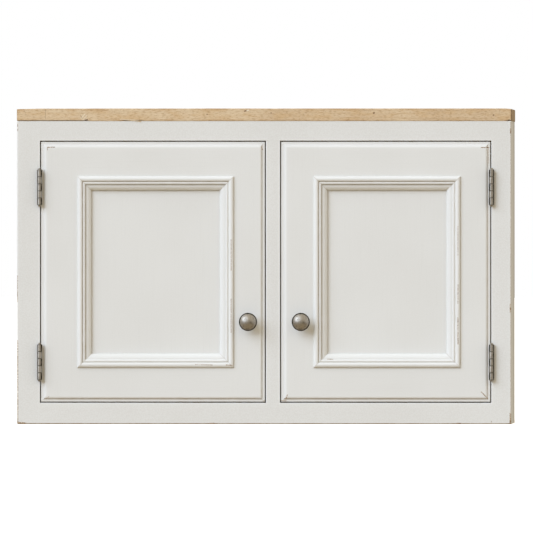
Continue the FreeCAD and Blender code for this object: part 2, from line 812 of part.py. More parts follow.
def build_door(side, hinge_side_edge, lock_side_edge, into, hinge_margin, lock_margin, knob_inset):
    """One door with its panel, mouldings and hardware; returns where its strike stud sits across."""
    prefix = f"{side}_door"
    hinge_edge = hinge_side_edge + into * d.door_gap
    lock_edge = lock_side_edge - into * d.door_gap
    hinge_inner = hinge_edge + into * (hinge_margin + d.moulding_lap)
    lock_inner = lock_edge - into * (lock_margin + d.moulding_lap)
    rails = {
        "bottom": (door_low, door_low + d.bottom_margin + d.moulding_lap),
        "top": (door_high - d.top_margin - d.moulding_lap, door_high),
    }
    tenons = {
        "bottom": (door_low + d.door_tenon_shoulder, rails["bottom"][1] - d.panel_groove_depth),
        "top": (rails["top"][0] + d.panel_groove_depth, door_high - d.door_tenon_shoulder),
    }
    thickness = (face, door_back)
    panel_y = (face + d.panel_recess, face + d.panel_recess + d.door_panel_thickness)
    groove_y = grown(panel_y, d.joint_fit)
    daylight = (rails["bottom"][1], rails["top"][0])
    edges = edge_tools(side, hinge_edge, lock_edge, into)
    knob_x = lock_edge - into * knob_inset
    knob_z = door_low + d.knob_height
    strike_x = lock_edge - into * d.strike_inset
    strike_z = opening_top - d.magnet_drop

    hinge_tools, hinge_screws = hinge_seat(f"{prefix}_hinge_stile", hinge_edge, into)
    lock_tools = [
        rod(f"{prefix}_knob_hole", d.bolt_radius + d.bolt_fit, "y", grown(thickness, d.tool_margin),
            (knob_x, knob_z)),
        rod(f"{prefix}_strike_hole", d.strike_spike_radius + d.screw_fit, "y",
            (door_back - d.strike_spike_length - d.joint_fit, door_back), (strike_x, strike_z)),
    ]
    for kind, outer, inner, way, tools in (("hinge", hinge_edge, hinge_inner, into, hinge_tools),
                                           ("lock", lock_edge, lock_inner, -into, lock_tools)):
        name = f"{prefix}_{kind}_stile"
        tools += [edges[kind], edges["top"], edges["bottom"]]
        tools.append(block(f"{name}_groove", between(inner, inner - way * d.panel_groove_depth), groove_y,
                           grown(daylight, d.panel_groove_depth)))
        mortise_x = between(inner, inner - way * (d.door_tenon_length + d.joint_fit))
        for level, span in tenons.items():
            tools.append(block(f"{name}_{level}_mortise", mortise_x, groove_y, grown(span, d.joint_fit)))
        blank = block(f"{name}_blank", between(outer, inner), thickness, (door_low, door_high))
        node(name, cut(name, blank, tools))

    between_stiles = between(hinge_inner, lock_inner)
    rail_grooves = {
        "bottom": (daylight[0] - d.panel_groove_depth, daylight[0]),
        "top": (daylight[1], daylight[1] + d.panel_groove_depth),
    }
    for level, span in rails.items():
        name = f"{prefix}_{level}_rail"
        blank = fuse(f"{name}_blank", [
            block(f"{name}_body", between_stiles, thickness, span),
            block(f"{name}_tenon", grown(between_stiles, d.door_tenon_length), panel_y, tenons[level]),
        ])
        groove = block(f"{name}_groove", between_stiles, groove_y, rail_grooves[level])
        node(name, cut(name, blank, [groove, edges[level]]))

    tuck = d.panel_groove_depth - d.panel_play
    node(f"{prefix}_panel", block(f"{prefix}_panel", grown(between_stiles, tuck), panel_y,
                                  grown(daylight, tuck)))

    low_x, high_x = between(hinge_edge + into * hinge_margin, lock_edge - into * lock_margin)
    low_z = door_low + d.bottom_margin
    high_z = door_high - d.top_margin
    left_kind, right_kind = ("hinge", "lock") if into > 0 else ("lock", "hinge")
    moulding_piece(f"{prefix}_moulding_top", high_x - low_x, (low_x, face, high_z), 0)
    moulding_piece(f"{prefix}_moulding_bottom", high_x - low_x, (high_x, face, low_z), 180)
    moulding_piece(f"{prefix}_moulding_{right_kind}_side", high_z - low_z, (high_x, face, high_z), 90)
    moulding_piece(f"{prefix}_moulding_{left_kind}_side", high_z - low_z, (low_x, face, low_z), -90)

    hang_leaves(side, "door", door_leaf, hinge_edge, into)
    hang_leaves(side, "frame", frame_leaf, hinge_side_edge, -into)
    node(f"{prefix}_hinge_screws", group(f"{prefix}_hinge_screws", hinge_screws))
    for name, master, spot, turn in (
            (f"{side}_knob", knob, (knob_x, face, knob_z), Z_TO_MINUS_Y),
            (f"{side}_knob_bolt", knob_bolt, (knob_x, door_back, knob_z), Z_TO_MINUS_Y),
            (f"{side}_strike_stud", strike_stud, (strike_x, door_back, strike_z), Z_TO_Y)):
        node(name, group(name, copies(master, f"{name}_copy", [spot], turn)))
    return strike_x


strike_places = [
    build_door("left", left_opening[0], left_opening[1], 1,
               d.left_hinge_margin, d.left_lock_margin, d.left_knob_inset),
    build_door("right", right_opening[1], right_opening[0], -1,
               d.right_hinge_margin, d.right_lock_margin, d.right_knob_inset),
]
pin_spots = [(x, pin_y, z)
             for x in (left_opening[0] + pin_inset, right_opening[1] - pin_inset)
             for z in hinge_heights.values()]
node("hinge_pins", group("hinge_pins", copies(hinge_pin, "hinge_pin_at", pin_spots)))

# Door stop batten with its magnets
magnet_span = (stop_front, stop_front + d.magnet_depth)
magnet_z = opening_top - d.magnet_drop
magnets = [
    rod(f"catch_magnet_{number}", d.magnet_radius, "y", magnet_span, (x, magnet_z))
    for number, x in enumerate(strike_places)
]
magnet_sockets = [
    rod(f"magnet_socket_{number}", d.magnet_radius + d.screw_fit, "y", magnet_span, (x, magnet_z))
    for number, x in enumerate(strike_places)
]
node("catch_magnets", group("catch_magnets", magnets))
batten_blank = block("door_stop_batten_blank", grown((inner_left, inner_right), -d.joint_fit),
                     (stop_front, stop_front + d.stop_depth), (stop_bottom, top_panel_under))
node("door_stop_batten", cut("door_stop_batten", batten_blank,
                             batten_recesses + carcass_bores + magnet_sockets))

# Checks, then one STEP file for each sub-part
doc.recompute()
for item in doc.Objects:
    if "Invalid" in item.State or "Error" in item.State:
        raise RuntimeError(f"{item.Label} did not build: {item.State}")
os.makedirs("parts", exist_ok=True)
for name, item in nodes.items():
    if item.Shape.isNull() or not item.Shape.isValid():
        raise RuntimeError(f"{name} has no valid shape")
    item.Shape.exportStep(f"parts/{name}.step")
print(f"{len(nodes)} sub-parts, {sum(len(item.Shape.Solids) for item in nodes.values())} solids")
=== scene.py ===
import json
import math

import bmesh
import bpy
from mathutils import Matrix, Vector, noise

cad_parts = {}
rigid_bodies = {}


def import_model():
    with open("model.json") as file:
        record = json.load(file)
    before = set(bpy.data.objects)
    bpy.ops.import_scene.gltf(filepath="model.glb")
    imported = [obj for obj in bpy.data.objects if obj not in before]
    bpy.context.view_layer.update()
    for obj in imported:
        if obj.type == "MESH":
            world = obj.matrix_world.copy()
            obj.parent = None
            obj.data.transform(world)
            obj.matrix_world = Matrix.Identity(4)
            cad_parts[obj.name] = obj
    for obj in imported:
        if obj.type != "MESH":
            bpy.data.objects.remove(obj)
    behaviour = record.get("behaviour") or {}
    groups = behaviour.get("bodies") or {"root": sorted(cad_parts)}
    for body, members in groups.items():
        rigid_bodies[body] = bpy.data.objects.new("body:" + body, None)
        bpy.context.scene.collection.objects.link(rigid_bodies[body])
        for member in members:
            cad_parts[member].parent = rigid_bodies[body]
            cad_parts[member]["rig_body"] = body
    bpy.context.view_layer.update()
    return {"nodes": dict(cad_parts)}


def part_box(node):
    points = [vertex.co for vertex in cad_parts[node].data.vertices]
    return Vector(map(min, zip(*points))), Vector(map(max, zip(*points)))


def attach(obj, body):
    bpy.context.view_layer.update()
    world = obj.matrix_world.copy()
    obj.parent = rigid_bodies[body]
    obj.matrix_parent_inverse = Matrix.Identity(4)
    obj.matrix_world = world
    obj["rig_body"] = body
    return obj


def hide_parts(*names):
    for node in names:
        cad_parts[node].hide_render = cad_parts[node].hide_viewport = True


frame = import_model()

# A painted kitchen wall cabinet. Metres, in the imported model's frame: X right, front -Y, Z up.
MM = 0.001
SIDES = ("left", "right")
LEVELS = ("upper", "lower")
scene = bpy.context.scene
box = {name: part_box(name) for name in frame["nodes"]}

# Planes and openings that the pieces share
carcass_left, face_y, carcass_low = box["frame_left_stile"][0]
left_opening_x, frame_back_y, carcass_high = box["frame_left_stile"][1]
carcass_right = box["frame_right_stile"][1].x
opening_low = box["frame_bottom_rail"][1].z
opening_high = box["frame_top_rail"][0].z
OPENINGS = {
    "left": (left_opening_x, box["frame_mid_stile"][0].x),
    "right": (box["frame_mid_stile"][1].x, box["frame_right_stile"][0].x),
}

# Hinge leaves let into the wood, and the knuckles of a barrel
LEAF_WIDTH = 18 * MM
LEAF_RECESS = 1.5 * MM
KNUCKLES = 5

# Rounded arrises, how far their wear and painted highlight reach, and the painted shade
# on the walls of the gaps round the doors
ARRIS = 1.2 * MM
LEAST_ARRIS = 0.2 * MM
OPENING_ARRIS = 0.75 * MM
EDGE_RUB_AND_HIGHLIGHT = 1.6 * MM
OPENING_RUB_AND_HIGHLIGHT = 2.0 * MM
GAP_SHADE = 0.6
GAP_SHADE_DEPTH = 8 * MM
GAP_WALL = 0.05 * MM

# Lattice lines near an arris, half the width of a square step, and what counts as one point or no edge
EDGE_CUTS = (0.35 * MM, 0.75 * MM, 1.2 * MM, 2.6 * MM, 5 * MM)
HAIR = 0.02 * MM
WELD_GAP = 0.005 * MM
LEAST_EDGE = 0.004 * MM


# Small helpers
def ripple(point, scale, seed=0.0):
    """Smooth noise from about -1 to 1."""
    return noise.noise(Vector(point) * scale + Vector((seed, 1.7 * seed, -seed)))


def smooth(low, high, value):
    """0 at low, 1 at high, smooth between; low may be the larger."""
    amount = min(1.0, max(0.0, (value - low) / (high - low)))
    return amount * amount * (3 - 2 * amount)


def fade(distance, reach):
    """1 at no distance, falling away over the reach."""
    return math.exp(-max(0.0, distance) / reach)


def rounding(distance, radius):
    """How far a quarter-round arris falls back at a distance from the edge."""
    if distance >= radius:
        return 0.0
    return radius - math.sqrt(max(0.0, radius ** 2 - (radius - distance) ** 2))


def rectangle_inset(rectangle, x, z):
    """How far a point lies inside a rectangle on the front (negative outside)."""
    low_x, high_x, low_z, high_z = rectangle
    return min(x - low_x, high_x - x, z - low_z, high_z - z)


def close_pairs(lines):
    """Two lattice lines a hair apart for each line, to make a square step there."""
    return [line + sign * HAIR for line in lines for sign in (-1, 1)]


# Worn strokes on the front, in millimetres: ends as x, z, x, z, then half width and strength
WEAR = [
    (-394.2, -7.9, -381.4, -7.6, 1.2, 1.0),
    (-394.4, -8.3, -394.4, -13.0, 1.0, 0.8),
    (-4.2, -7.2, -2.9, -12.1, 1.4, 0.9),
    (395.7, -8.3, 409.3, -8.3, 1.3, 1.0),
    (408.9, -9.4, 408.9, -36.7, 1.0, 0.7),
    (395.7, -453.3, 407.5, -465.1, 1.5, 1.0),
    (42.7, -458.7, 40.0, -466.0, 1.3, 1.0),
    (-396.9, -466.0, -391.5, -461.5, 0.9, 0.7),
    (32.0, -469.3, 41.0, -469.3, 1.0, 0.8),
    (-3.0, -469.3, 1.5, -469.3, 1.0, 0.6),
    (-448.7, 36.0, -448.7, 22.0, 1.2, 0.8),
    (-448.9, -242.2, -448.9, -289.5, 1.2, 0.8),
    (-448.7, -360.0, -448.5, -509.6, 1.5, 0.9),
    (-448.5, -509.0, -434.0, -510.6, 2.2, 1.0),
    (449.4, 38.0, 449.4, -511.0, 1.0, 0.4),
    (449.2, 25.2, 449.2, 18.0, 1.8, 1.0),
    (449.1, -294.0, 449.1, -307.0, 2.4, 1.0),
    (449.0, -493.0, 449.0, -511.0, 2.8, 1.0),
    (353.4, -152.0, 353.4, -205.0, 1.3, 0.5),
    (353.6, -258.0, 353.4, -292.0, 1.3, 0.7),
    (353.4, -318.0, 353.6, -366.0, 1.4, 0.9),
    (-59.6, -176.0, -59.4, -232.0, 1.3, 0.6),
    (-59.6, -284.0, -59.6, -345.0, 1.2, 0.7),
    (-68.6, -404.2, -56.7, -405.1, 1.4, 1.0),
    (-125.0, -403.4, -94.0, -404.4, 1.2, 0.7),
    (115.5, -393.6, 126.0, -394.0, 1.0, 0.8),
    (-315.0, -380.5, -312.0, -383.0, 1.2, 0.9),
    (414.3, -506.5, 414.3, -510.5, 0.9, 0.9),
    (-98.0, -510.6, -91.0, -510.6, 1.5, 1.0),
    (352.0, -510.6, 358.0, -510.6, 1.6, 1.0),
]

# Splits, worm holes and dirt on the front edge of the top board, and painted shadow in its chips,
# in the same form
BOARD_DARK = [
    (-398.0, 60.0, -398.2, 45.0, 1.3, 0.35),
    (450.2, 60.5, 450.2, 44.0, 1.0, 0.6),
    (-334.0, 50.5, -331.5, 45.5, 0.7, 0.5),
    (-325.5, 41.6, -321.5, 42.6, 1.6, 1.0),
    (-103.9, 51.9, -103.1, 52.0, 1.5, 0.7),
    (-35.0, 57.8, -32.6, 58.4, 1.5, 1.0),
    (-25.0, 56.2, -24.5, 56.3, 1.0, 0.4),
    (12.8, 54.2, 13.3, 54.4, 1.5, 0.8),
    (200.2, 54.1, 200.7, 54.6, 2.0, 1.0),
    (417.8, 50.2, 418.3, 50.4, 1.9, 0.8),
    (405.0, 58.0, 402.0, 47.0, 0.6, 0.25),
    (430.0, 60.0, 427.5, 51.0, 0.6, 0.25),
    (-436.0, 59.0, -433.0, 48.0, 0.6, 0.25),
]

# Spots there where the wood is torn and pale
BOARD_TORN = [
    (-332.5, 45.0, -326.5, 52.5, 1.0, 0.8),
    (-329.5, 42.8, -322.5, 50.0, 1.0, 0.8),
    (-327.5, 41.2, -323.5, 43.8, 0.8, 0.8),
    (-31.0, 59.0, -28.0, 59.6, 1.5, 1.0),
    (446.5, 42.6, 449.5, 42.8, 1.2, 0.8),
    (-262.0, 43.2, -228.0, 41.4, 0.8, 0.6),
]

# How deep behind the front the knocks and the strokes go
KNOCK_DEPTH = 6 * MM
STROKE_DEPTH = 3 * MM
STROKE_FADE = 1 * MM


def knock_at(point):
    """How hard the painted front has been knocked at a point."""
    if point.y > face_y + KNOCK_DEPTH:
        return 0.0
    worst = 0.0
    place = Vector((point.x, point.z)) / MM
    for x0, z0, x1, z1, half_width, strength in WEAR:
        start, stop = Vector((x0, z0)), Vector((x1, z1))
        run = stop - start
        share = min(1.0, max(0.0, (place - start).dot(run) / run.length_squared))
        reach = (place - start - share * run).length
        worst = max(worst, strength * smooth(2.5 * half_width, 0.5 * half_width, reach))
    return worst


# Mesh building
def make_mesh(name, points, faces, attributes):
    """A mesh with outward faces and per-vertex numbers for the materials."""
    mesh = bpy.data.meshes.new(name)
    mesh.from_pydata(points, [], faces)
    for label, numbers in attributes.items():
        mesh.attributes.new(label, "FLOAT", "POINT").data.foreach_set("value", numbers)
    work = bmesh.new()
    work.from_mesh(mesh)
    bmesh.ops.remove_doubles(work, verts=work.verts, dist=WELD_GAP)
    bmesh.ops.dissolve_degenerate(work, edges=work.edges, dist=LEAST_EDGE)
    bmesh.ops.recalc_face_normals(work, faces=work.faces)
    work.to_mesh(mesh)
    work.free()
    return mesh


def add_object(name, data):
    thing = bpy.data.objects.new(name, data)
    scene.collection.objects.link(thing)
    return thing


def add_piece(mesh, node, material, sharp=38, place=(0, 0, 0), replace=True):
    """Puts a mesh in the scene in place of a CAD node, or beside it, riding on that node's body."""
    for polygon in mesh.polygons:
        polygon.use_smooth = True
    mesh.set_sharp_from_angle(angle=math.radians(sharp))
    mesh.materials.append(material)
    piece = add_object(mesh.name, mesh)
    piece.location = place
    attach(piece, frame["nodes"][node]["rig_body"])
    if replace:
        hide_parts(node)


def tube_faces(rings, size):
    """The sides of a tube given as rings of points, with as many points in each ring."""
    faces = []
    for ring in range(rings - 1):
        here, there = ring * size, (ring + 1) * size
        for point in range(size):
            beside = (point + 1) % size
            faces.append([here + point, here + beside, there + beside, there + point])
    return faces


def cuts(low, high, step, fine_low=(), fine_high=(), extra=()):
    """Lattice lines from low to high: even steps, with finer ones near the ends and some fixed ones."""
    near_ends = [low + offset for offset in fine_low] + [high - offset for offset in fine_high]
    fixed = sorted(line for line in {low, high, *near_ends, *extra} if low <= line <= high)
    lines = [line for number, line in enumerate(fixed)
             if number == 0 or line - fixed[number - 1] > LEAST_EDGE]
    count = max(1, round((high - low) / step))
    for number in range(1, count):
        line = low + (high - low) * number / count
        if min(abs(line - other) for other in fixed) > 0.45 * step:
            lines.append(line)
    return sorted(lines)


def board(name, lines, soft, relief, marks=None, slots=(), shape=None, wave=0.05 * MM, chip=0.5 * MM,
          seed=0.0):
    """A board as a closed lattice mesh whose soft sides meet in rounded, slightly chipped arrises.

    lines holds the cutting lines along x, y and z, and soft the sides, such as "x-" or "z+", whose
    shared edges are rounded. relief(x, z) is how far the front is cut back, marks(point) adds edge
    and recess weights for the paint, and shape(point, moved) has the last word on where a point goes.
    slots are recesses for hinge leaves, wave is how uneven a soft side is, and chip how much a knock
    takes off its arris.
    """
    low = [axis_lines[0] for axis_lines in lines]
    high = [axis_lines[-1] for axis_lines in lines]
    index = {}
    points = []
    weights = {"edge": [], "recess": []}

    def vertex(key):
        if key in index:
            return index[key]
        point = Vector([lines[axis][key[axis]] for axis in range(3)])
        moved = point.copy()
        core = point.copy()
        gaps = []
        for axis, letter in enumerate("xyz"):
            for sign, limit, inward in (("-", low[axis], 1), ("+", high[axis], -1)):
                if letter + sign not in soft:
                    continue
                gap = abs(point[axis] - limit)
                gaps.append(gap)
                if gap < ARRIS:
                    core[axis] = limit + inward * ARRIS
                if gap == 0:
                    moved[axis] += inward * wave * (0.5 + 0.5 * ripple(point, 9, seed + 3 * axis))
        gaps.sort()
        edge = fade(gaps[1], EDGE_RUB_AND_HIGHLIGHT) if len(gaps) > 1 else 0.0
        recess = 0.0
        knock = knock_at(point)
        offset = point - core
        if offset.length > ARRIS:
            loss = 0.5 * max(0.0, ripple(point, 90, seed) - 0.1) + knock
            moved = core + offset.normalized() * max(LEAST_ARRIS, ARRIS - chip * loss)
        in_slot = any(rectangle_inset(slot, point.x, point.z) >= 0 for slot in slots)
        moved.y = max(moved.y, low[1] + (LEAF_WIDTH if in_slot else relief(point.x, point.z)))
        if marks is not None:
            more_edge, recess = marks(point)
            edge = max(edge, more_edge)
        if shape is not None:
            moved = shape(point, moved)
        index[key] = len(points)
        points.append(moved)
        weights["edge"].append(edge)
        weights["recess"].append(recess)
        return index[key]

    faces = []
    for axis in range(3):
        first, second = [other for other in range(3) if other != axis]
        for end in (0, len(lines[axis]) - 1):
            for a in range(len(lines[first]) - 1):
                for b in range(len(lines[second]) - 1):
                    ring = []
                    for step_a, step_b in ((0, 0), (1, 0), (1, 1), (0, 1)):
                        key = [end, end, end]
                        key[first] = a + step_a
                        key[second] = b + step_b
                        ring.append(vertex(tuple(key)))
                    faces.append(ring)
    return make_mesh(name, points, faces, weights)


# Material building
class Tree:
    """The node tree of a material or a world, with short ways to add to it."""

    def __init__(self, owner, coordinates):
        owner.use_nodes = True
        self.nodes = owner.node_tree.nodes
        self.links = owner.node_tree.links
        self.place = self.add("TexCoord").outputs[coordinates]

    def add(self, kind, inputs=None, **settings):
        node = self.nodes.new("ShaderNode" + kind)
        for label, value in settings.items():
            setattr(node, label, value)
        for label, value in (inputs or {}).items():
            self.feed(node.inputs[label], value)
        return node

    def feed(self, socket, value):
        if isinstance(value, bpy.types.NodeSocket):
            self.links.new(value, socket)
        else:
            socket.default_value = value

    def math(self, operation, first, second=0.0):
        return self.add("Math", {0: first, 1: second}, operation=operation).outputs[0]

    def total(self, *shares):
        """The sum of (value, weight) pairs."""
        result = 0.0
        for value, weight in shares:
            result = self.add("Math", {0: value, 1: weight, 2: result}, operation="MULTIPLY_ADD").outputs[0]
        return result

    def times(self, first, second):
        return self.math("MULTIPLY", first, second)

    def larger(self, first, second):
        return self.math("MAXIMUM", first, second)

    def apart(self, value, other):
        """How far a value is from another."""
        return self.math("ABSOLUTE", self.math("SUBTRACT", value, other))

    def hypot(self, first, second):
        return self.math("SQRT", self.math("ADD", self.times(first, first), self.times(second, second)))

    def remap(self, value, low, high, start=0.0, stop=1.0):
        inputs = {"Value": value, "From Min": low, "From Max": high, "To Min": start, "To Max": stop}
        return self.add("MapRange", inputs, interpolation_type="SMOOTHSTEP").outputs["Result"]

    def noise(self, scale, detail=3.0, roughness=0.5, place=None):
        place = self.place if place is None else place
        inputs = {"Vector": place, "Scale": scale, "Detail": detail, "Roughness": roughness}
        return self.add("TexNoise", inputs).outputs["Fac"]

    def grain(self, along, squeeze, scale, detail=3.0, roughness=0.5):
        """Noise drawn out along one axis."""
        shares = [squeeze if letter == along else 1.0 for letter in "xyz"]
        place = self.add("Mapping", {"Vector": self.place, "Scale": shares}).outputs[0]
        return self.noise(scale, detail, roughness, place)

    def mix(self, factor, first, second, blend="MIX"):
        node = self.add("Mix", data_type="RGBA", blend_type=blend)
        for number, value in ((0, factor), (6, first), (7, second)):
            self.feed(node.inputs[number], value)
        return node.outputs[2]

    def axes(self):
        return self.add("SeparateXYZ", {0: self.place}).outputs


class Shader(Tree):
    """A new material's node tree."""

    def __init__(self, name):
        self.material = bpy.data.materials.new(name)
        super().__init__(self.material, "Object")
        self.surface = self.nodes["Principled BSDF"]

    def set(self, label, value):
        self.feed(self.surface.inputs[label], value)

    def attribute(self, label):
        return self.add("Attribute", attribute_name=label).outputs["Fac"]

    def finish(self, colour, roughness, height, depth, strength):
        """Joins colour, roughness and relief to the surface."""
        bump = self.add("Bump", {"Height": height, "Distance": depth, "Strength": strength})
        self.set("Base Color", colour)
        self.set("Roughness", roughness)
        self.set("Normal", bump.outputs["Normal"])
        return self.material


def rgb(*shares):
    return (*shares, 1.0)


PAINT_PALE = rgb(0.800, 0.796, 0.772)
PAINT_DULL = rgb(0.780, 0.774, 0.748)
# Paler paint for a painted highlight on edges
PAINT_HIGHLIGHT = rgb(0.900, 0.900, 0.890)
PAINT_BACK_DARK = rgb(0.480, 0.455, 0.390)
# Grime colour, also used for painted shade in quirks, hollows and gaps
PAINT_GRIME_AND_SHADE = rgb(0.235, 0.152, 0.052)
WORN_WOOD_PALE = rgb(0.490, 0.325, 0.160)
WORN_WOOD_DARK = rgb(0.190, 0.100, 0.040)


def stroke_mask(shader, strokes, front_y):
    """How strongly the strokes show, on what lies close behind a front plane."""
    axes = shader.axes()
    mask = 0.0
    for x0, z0, x1, z1, half_width, strength in strokes:
        length = math.hypot(x1 - x0, z1 - z0)
        run_x, run_z = (x1 - x0) / length, (z1 - z0) / length
        along = shader.total((axes[0], run_x / MM), (axes[2], run_z / MM),
                             (1.0, -x0 * run_x - z0 * run_z))
        aside = shader.total((axes[0], run_z / MM), (axes[2], -run_x / MM),
                             (1.0, z0 * run_x - x0 * run_z))
        line = shader.remap(shader.math("ABSOLUTE", aside), half_width, 0.2 * half_width, 0.0, strength)
        from_middle = shader.apart(along, length / 2)
        ends = shader.remap(from_middle, length / 2 + half_width, length / 2 + 0.2 * half_width)
        mask = shader.larger(mask, shader.times(line, ends))
    deepest = front_y + STROKE_DEPTH
    front = shader.remap(axes[1], deepest + STROKE_FADE, deepest)
    return shader.times(mask, front)


def paint_colours(shader, along, edge, recess, worn, mottle=0.02, edge_highlight=0.0):
    """Brushed off-white paint, darkened in its quirks by painted shade and grime, paler on its edges
    by a painted highlight, and worn to wood on its arrises.

    mottle is how strong the fine specks are, and the last argument how much paler the paint is
    on its edges, a painted highlight.
    """
    broad = shader.noise(6, 2)
    patch = shader.noise(55, 5, 0.65)
    speck = shader.noise(420, 3, 0.6)
    brush = shader.grain(along, 0.018, 620, 3, 0.6)
    grain = shader.grain(along, 0.05, 120, 3, 0.5)
    colour = shader.mix(shader.remap(broad, 0.3, 0.7), PAINT_PALE, PAINT_DULL)
    colour = shader.mix(shader.remap(brush, 0.5, 0.8, 0.0, 0.10), colour, PAINT_DULL, "MULTIPLY")
    colour = shader.mix(shader.remap(speck, 0.35, 0.65, 0.0, mottle), colour, PAINT_GRIME_AND_SHADE)
    # Painted highlight: the paint is made paler on edges
    colour = shader.mix(shader.times(edge, edge_highlight), colour, PAINT_HIGHLIGHT)
    # The recess weights lay painted shade and grime into quirks, hollows and gaps
    grime_and_shade = shader.times(recess, shader.remap(patch, 0.25, 0.7, 0.7, 1.0))
    colour = shader.mix(grime_and_shade, colour, PAINT_GRIME_AND_SHADE)
    rub = shader.total((edge, 0.30), (patch, 0.55), (speck, 0.45))
    broken = shader.remap(shader.total((patch, 0.3), (speck, 0.7)), 0.38, 0.56, 0.35, 1.0)
    scuff = shader.times(worn, broken)
    wear = shader.larger(shader.remap(rub, 0.88, 0.98, 0.0, 0.8), scuff)
    wood = shader.mix(shader.remap(speck, 0.35, 0.65), WORN_WOOD_PALE, WORN_WOOD_DARK)
    colour = shader.mix(wear, colour, wood)
    height = shader.total((brush, 0.35), (grain, 0.25), (patch, 0.2), (wear, -0.9))
    roughness = shader.total((brush, 0.14), (wear, 0.25), (patch, 0.1), (1.0, 0.34))
    return colour, roughness, height


def paint(name, along, mottle, edge_highlight):
    """Paint for pieces whose vertices carry edge and recess weights."""
    shader = Shader(name)
    weights = [shader.attribute(label) for label in ("edge", "recess")]
    worn = stroke_mask(shader, WEAR, face_y)
    colour, roughness, height = paint_colours(shader, along, *weights, worn, mottle, edge_highlight)
    return shader.finish(colour, roughness, height, 0.25 * MM, 0.5)


KNOT_BROWN = rgb(0.190, 0.090, 0.040)


def wood_colours(shader, along, pale, tone, pith, pitch, knots=(), figure=0.62, streaks=0.55):
    """Solid pine: growth rings about a pith line, fibres along the grain, and a few knots.

    pith is where the pith runs on the two axes across the grain, and a knot is a place along the
    grain, a place on the axis named with it, and a radius. figure and streaks are how strongly the
    rings and the darker streaks show.
    """
    axes = dict(zip("xyz", shader.axes()))
    across = [letter for letter in "xyz" if letter != along]
    offsets = []
    for number, letter in enumerate(across):
        drift = shader.grain(along, 0.3, 5 + 1.3 * number, 2)
        offsets.append(shader.total((axes[letter], 1.0), (drift, 0.05), (1.0, -pith[number] - 0.025)))
    radius = shader.hypot(*offsets)
    wobble = shader.grain(along, 0.06, 70, 3)
    radius = shader.total((radius, 1.0), (wobble, 0.5 * pitch))
    heart = 0.0
    for middle, letter, centre, size in knots:
        lengthwise = shader.total((axes[along], 0.6 / size), (1.0, -0.6 * middle / size))
        sideways = shader.total((axes[letter], 1 / size), (1.0, -centre / size))
        reach = shader.hypot(lengthwise, sideways)
        swirl = shader.remap(reach, 0.4, 3.2, 1.6 * size, 0.0)
        radius = shader.math("ADD", radius, swirl)
        heart = shader.larger(heart, shader.remap(reach, 0.5, 1.15, 1.0, 0.0))
    phase = shader.math("FRACT", shader.math("DIVIDE", radius, pitch))
    late = shader.times(shader.remap(phase, 0.35, 0.9), shader.remap(phase, 0.9, 1.0, 1.0, 0.0))
    fibre = shader.grain(along, 0.012, 1500, 3, 0.6)
    streak = shader.grain(along, 0.03, 190, 4, 0.6)
    broad = shader.noise(7, 3)
    colour = shader.mix(shader.times(late, figure), pale, tone)
    colour = shader.mix(shader.remap(streak, 0.45, 0.75, 0.0, streaks), colour, tone)
    colour = shader.mix(shader.remap(fibre, 0.52, 0.75, 0.0, 0.3), colour, tone, "MULTIPLY")
    colour = shader.mix(shader.remap(broad, 0.4, 0.75, 0.0, 0.35), colour, tone, "MULTIPLY")
    colour = shader.mix(shader.times(heart, 0.75), colour, KNOT_BROWN)
    height = shader.total((late, 0.4), (fibre, 0.5), (streak, 0.3))
    roughness = shader.total((fibre, 0.2), (late, -0.08), (1.0, 0.52))
    return colour, roughness, height


PINE_PALE = rgb(0.760, 0.595, 0.390)
PINE_TONE = rgb(0.520, 0.345, 0.175)
PINE_WARM = rgb(0.660, 0.455, 0.240)
PINE_TORN = rgb(0.850, 0.760, 0.600)
END_GRAIN = rgb(0.460, 0.420, 0.350)
WAXED_PALE = rgb(0.660, 0.470, 0.260)
WAXED_TONE = rgb(0.430, 0.250, 0.105)


def waxed_pine(name, along, pith, pitch, knots):
    """Waxed pine, for the pieces inside and at the back."""
    shader = Shader(name)
    colour, roughness, height = wood_colours(shader, along, WAXED_PALE, WAXED_TONE, pith, pitch, knots)
    return shader.finish(colour, roughness, height, 0.25 * MM, 0.6)


def top_board_pine(name, knots):
    """The top board's pine: its front edge blotched, flecked and marked, its ends dull."""
    low, high = box["top_board"]
    shader = Shader(name)
    away = shader.remap(shader.axes()[1], low.y + 1 * MM, low.y + 14 * MM)
    figure = shader.remap(away, 0.0, 1.0, 0.14, 0.60)
    streaks = shader.remap(away, 0.0, 1.0, 0.2, 0.5)
    colour, roughness, height = wood_colours(shader, "x", PINE_PALE, PINE_TONE, (-0.20, -0.06), 4.6 * MM,
                                             knots, figure, streaks)
    blotch = shader.grain("x", 0.35, 75, 4, 0.65)
    fleck = shader.grain("x", 0.28, 480, 3, 0.65)
    blotches = shader.remap(blotch, 0.42, 0.66, 0.0, shader.remap(away, 0.0, 1.0, 0.7, 0.15))
    flecks = shader.remap(fleck, 0.46, 0.66, 0.0, shader.remap(away, 0.0, 1.0, 0.45, 0.08))
    colour = shader.mix(blotches, colour, PINE_WARM)
    colour = shader.mix(flecks, colour, PINE_TONE, "MULTIPLY")
    grubby = shader.times(shader.attribute("edge"), shader.remap(blotch, 0.35, 0.7, 0.1, 0.75))
    colour = shader.mix(grubby, colour, PINE_TONE, "MULTIPLY")
    torn = stroke_mask(shader, BOARD_TORN, low.y)
    colour = shader.mix(torn, colour, PINE_TORN)
    # Dark splits, holes and dirt, with painted shadow in the chips
    dark = stroke_mask(shader, BOARD_DARK, low.y)
    colour = shader.mix(dark, colour, KNOT_BROWN)
    middle, reach = (low.x + high.x) / 2, (high.x - low.x) / 2
    from_middle = shader.apart(shader.axes()[0], middle)
    end_grain = shader.remap(from_middle, reach - 1.6 * MM, reach - 0.7 * MM, 0.0, 0.75)
    colour = shader.mix(end_grain, colour, END_GRAIN, "MULTIPLY")
    height = shader.total((height, 1.0), (fleck, 0.4), (dark, -2.0), (torn, 0.6))
    return shader.finish(colour, roughness, height, 0.3 * MM, 0.7)


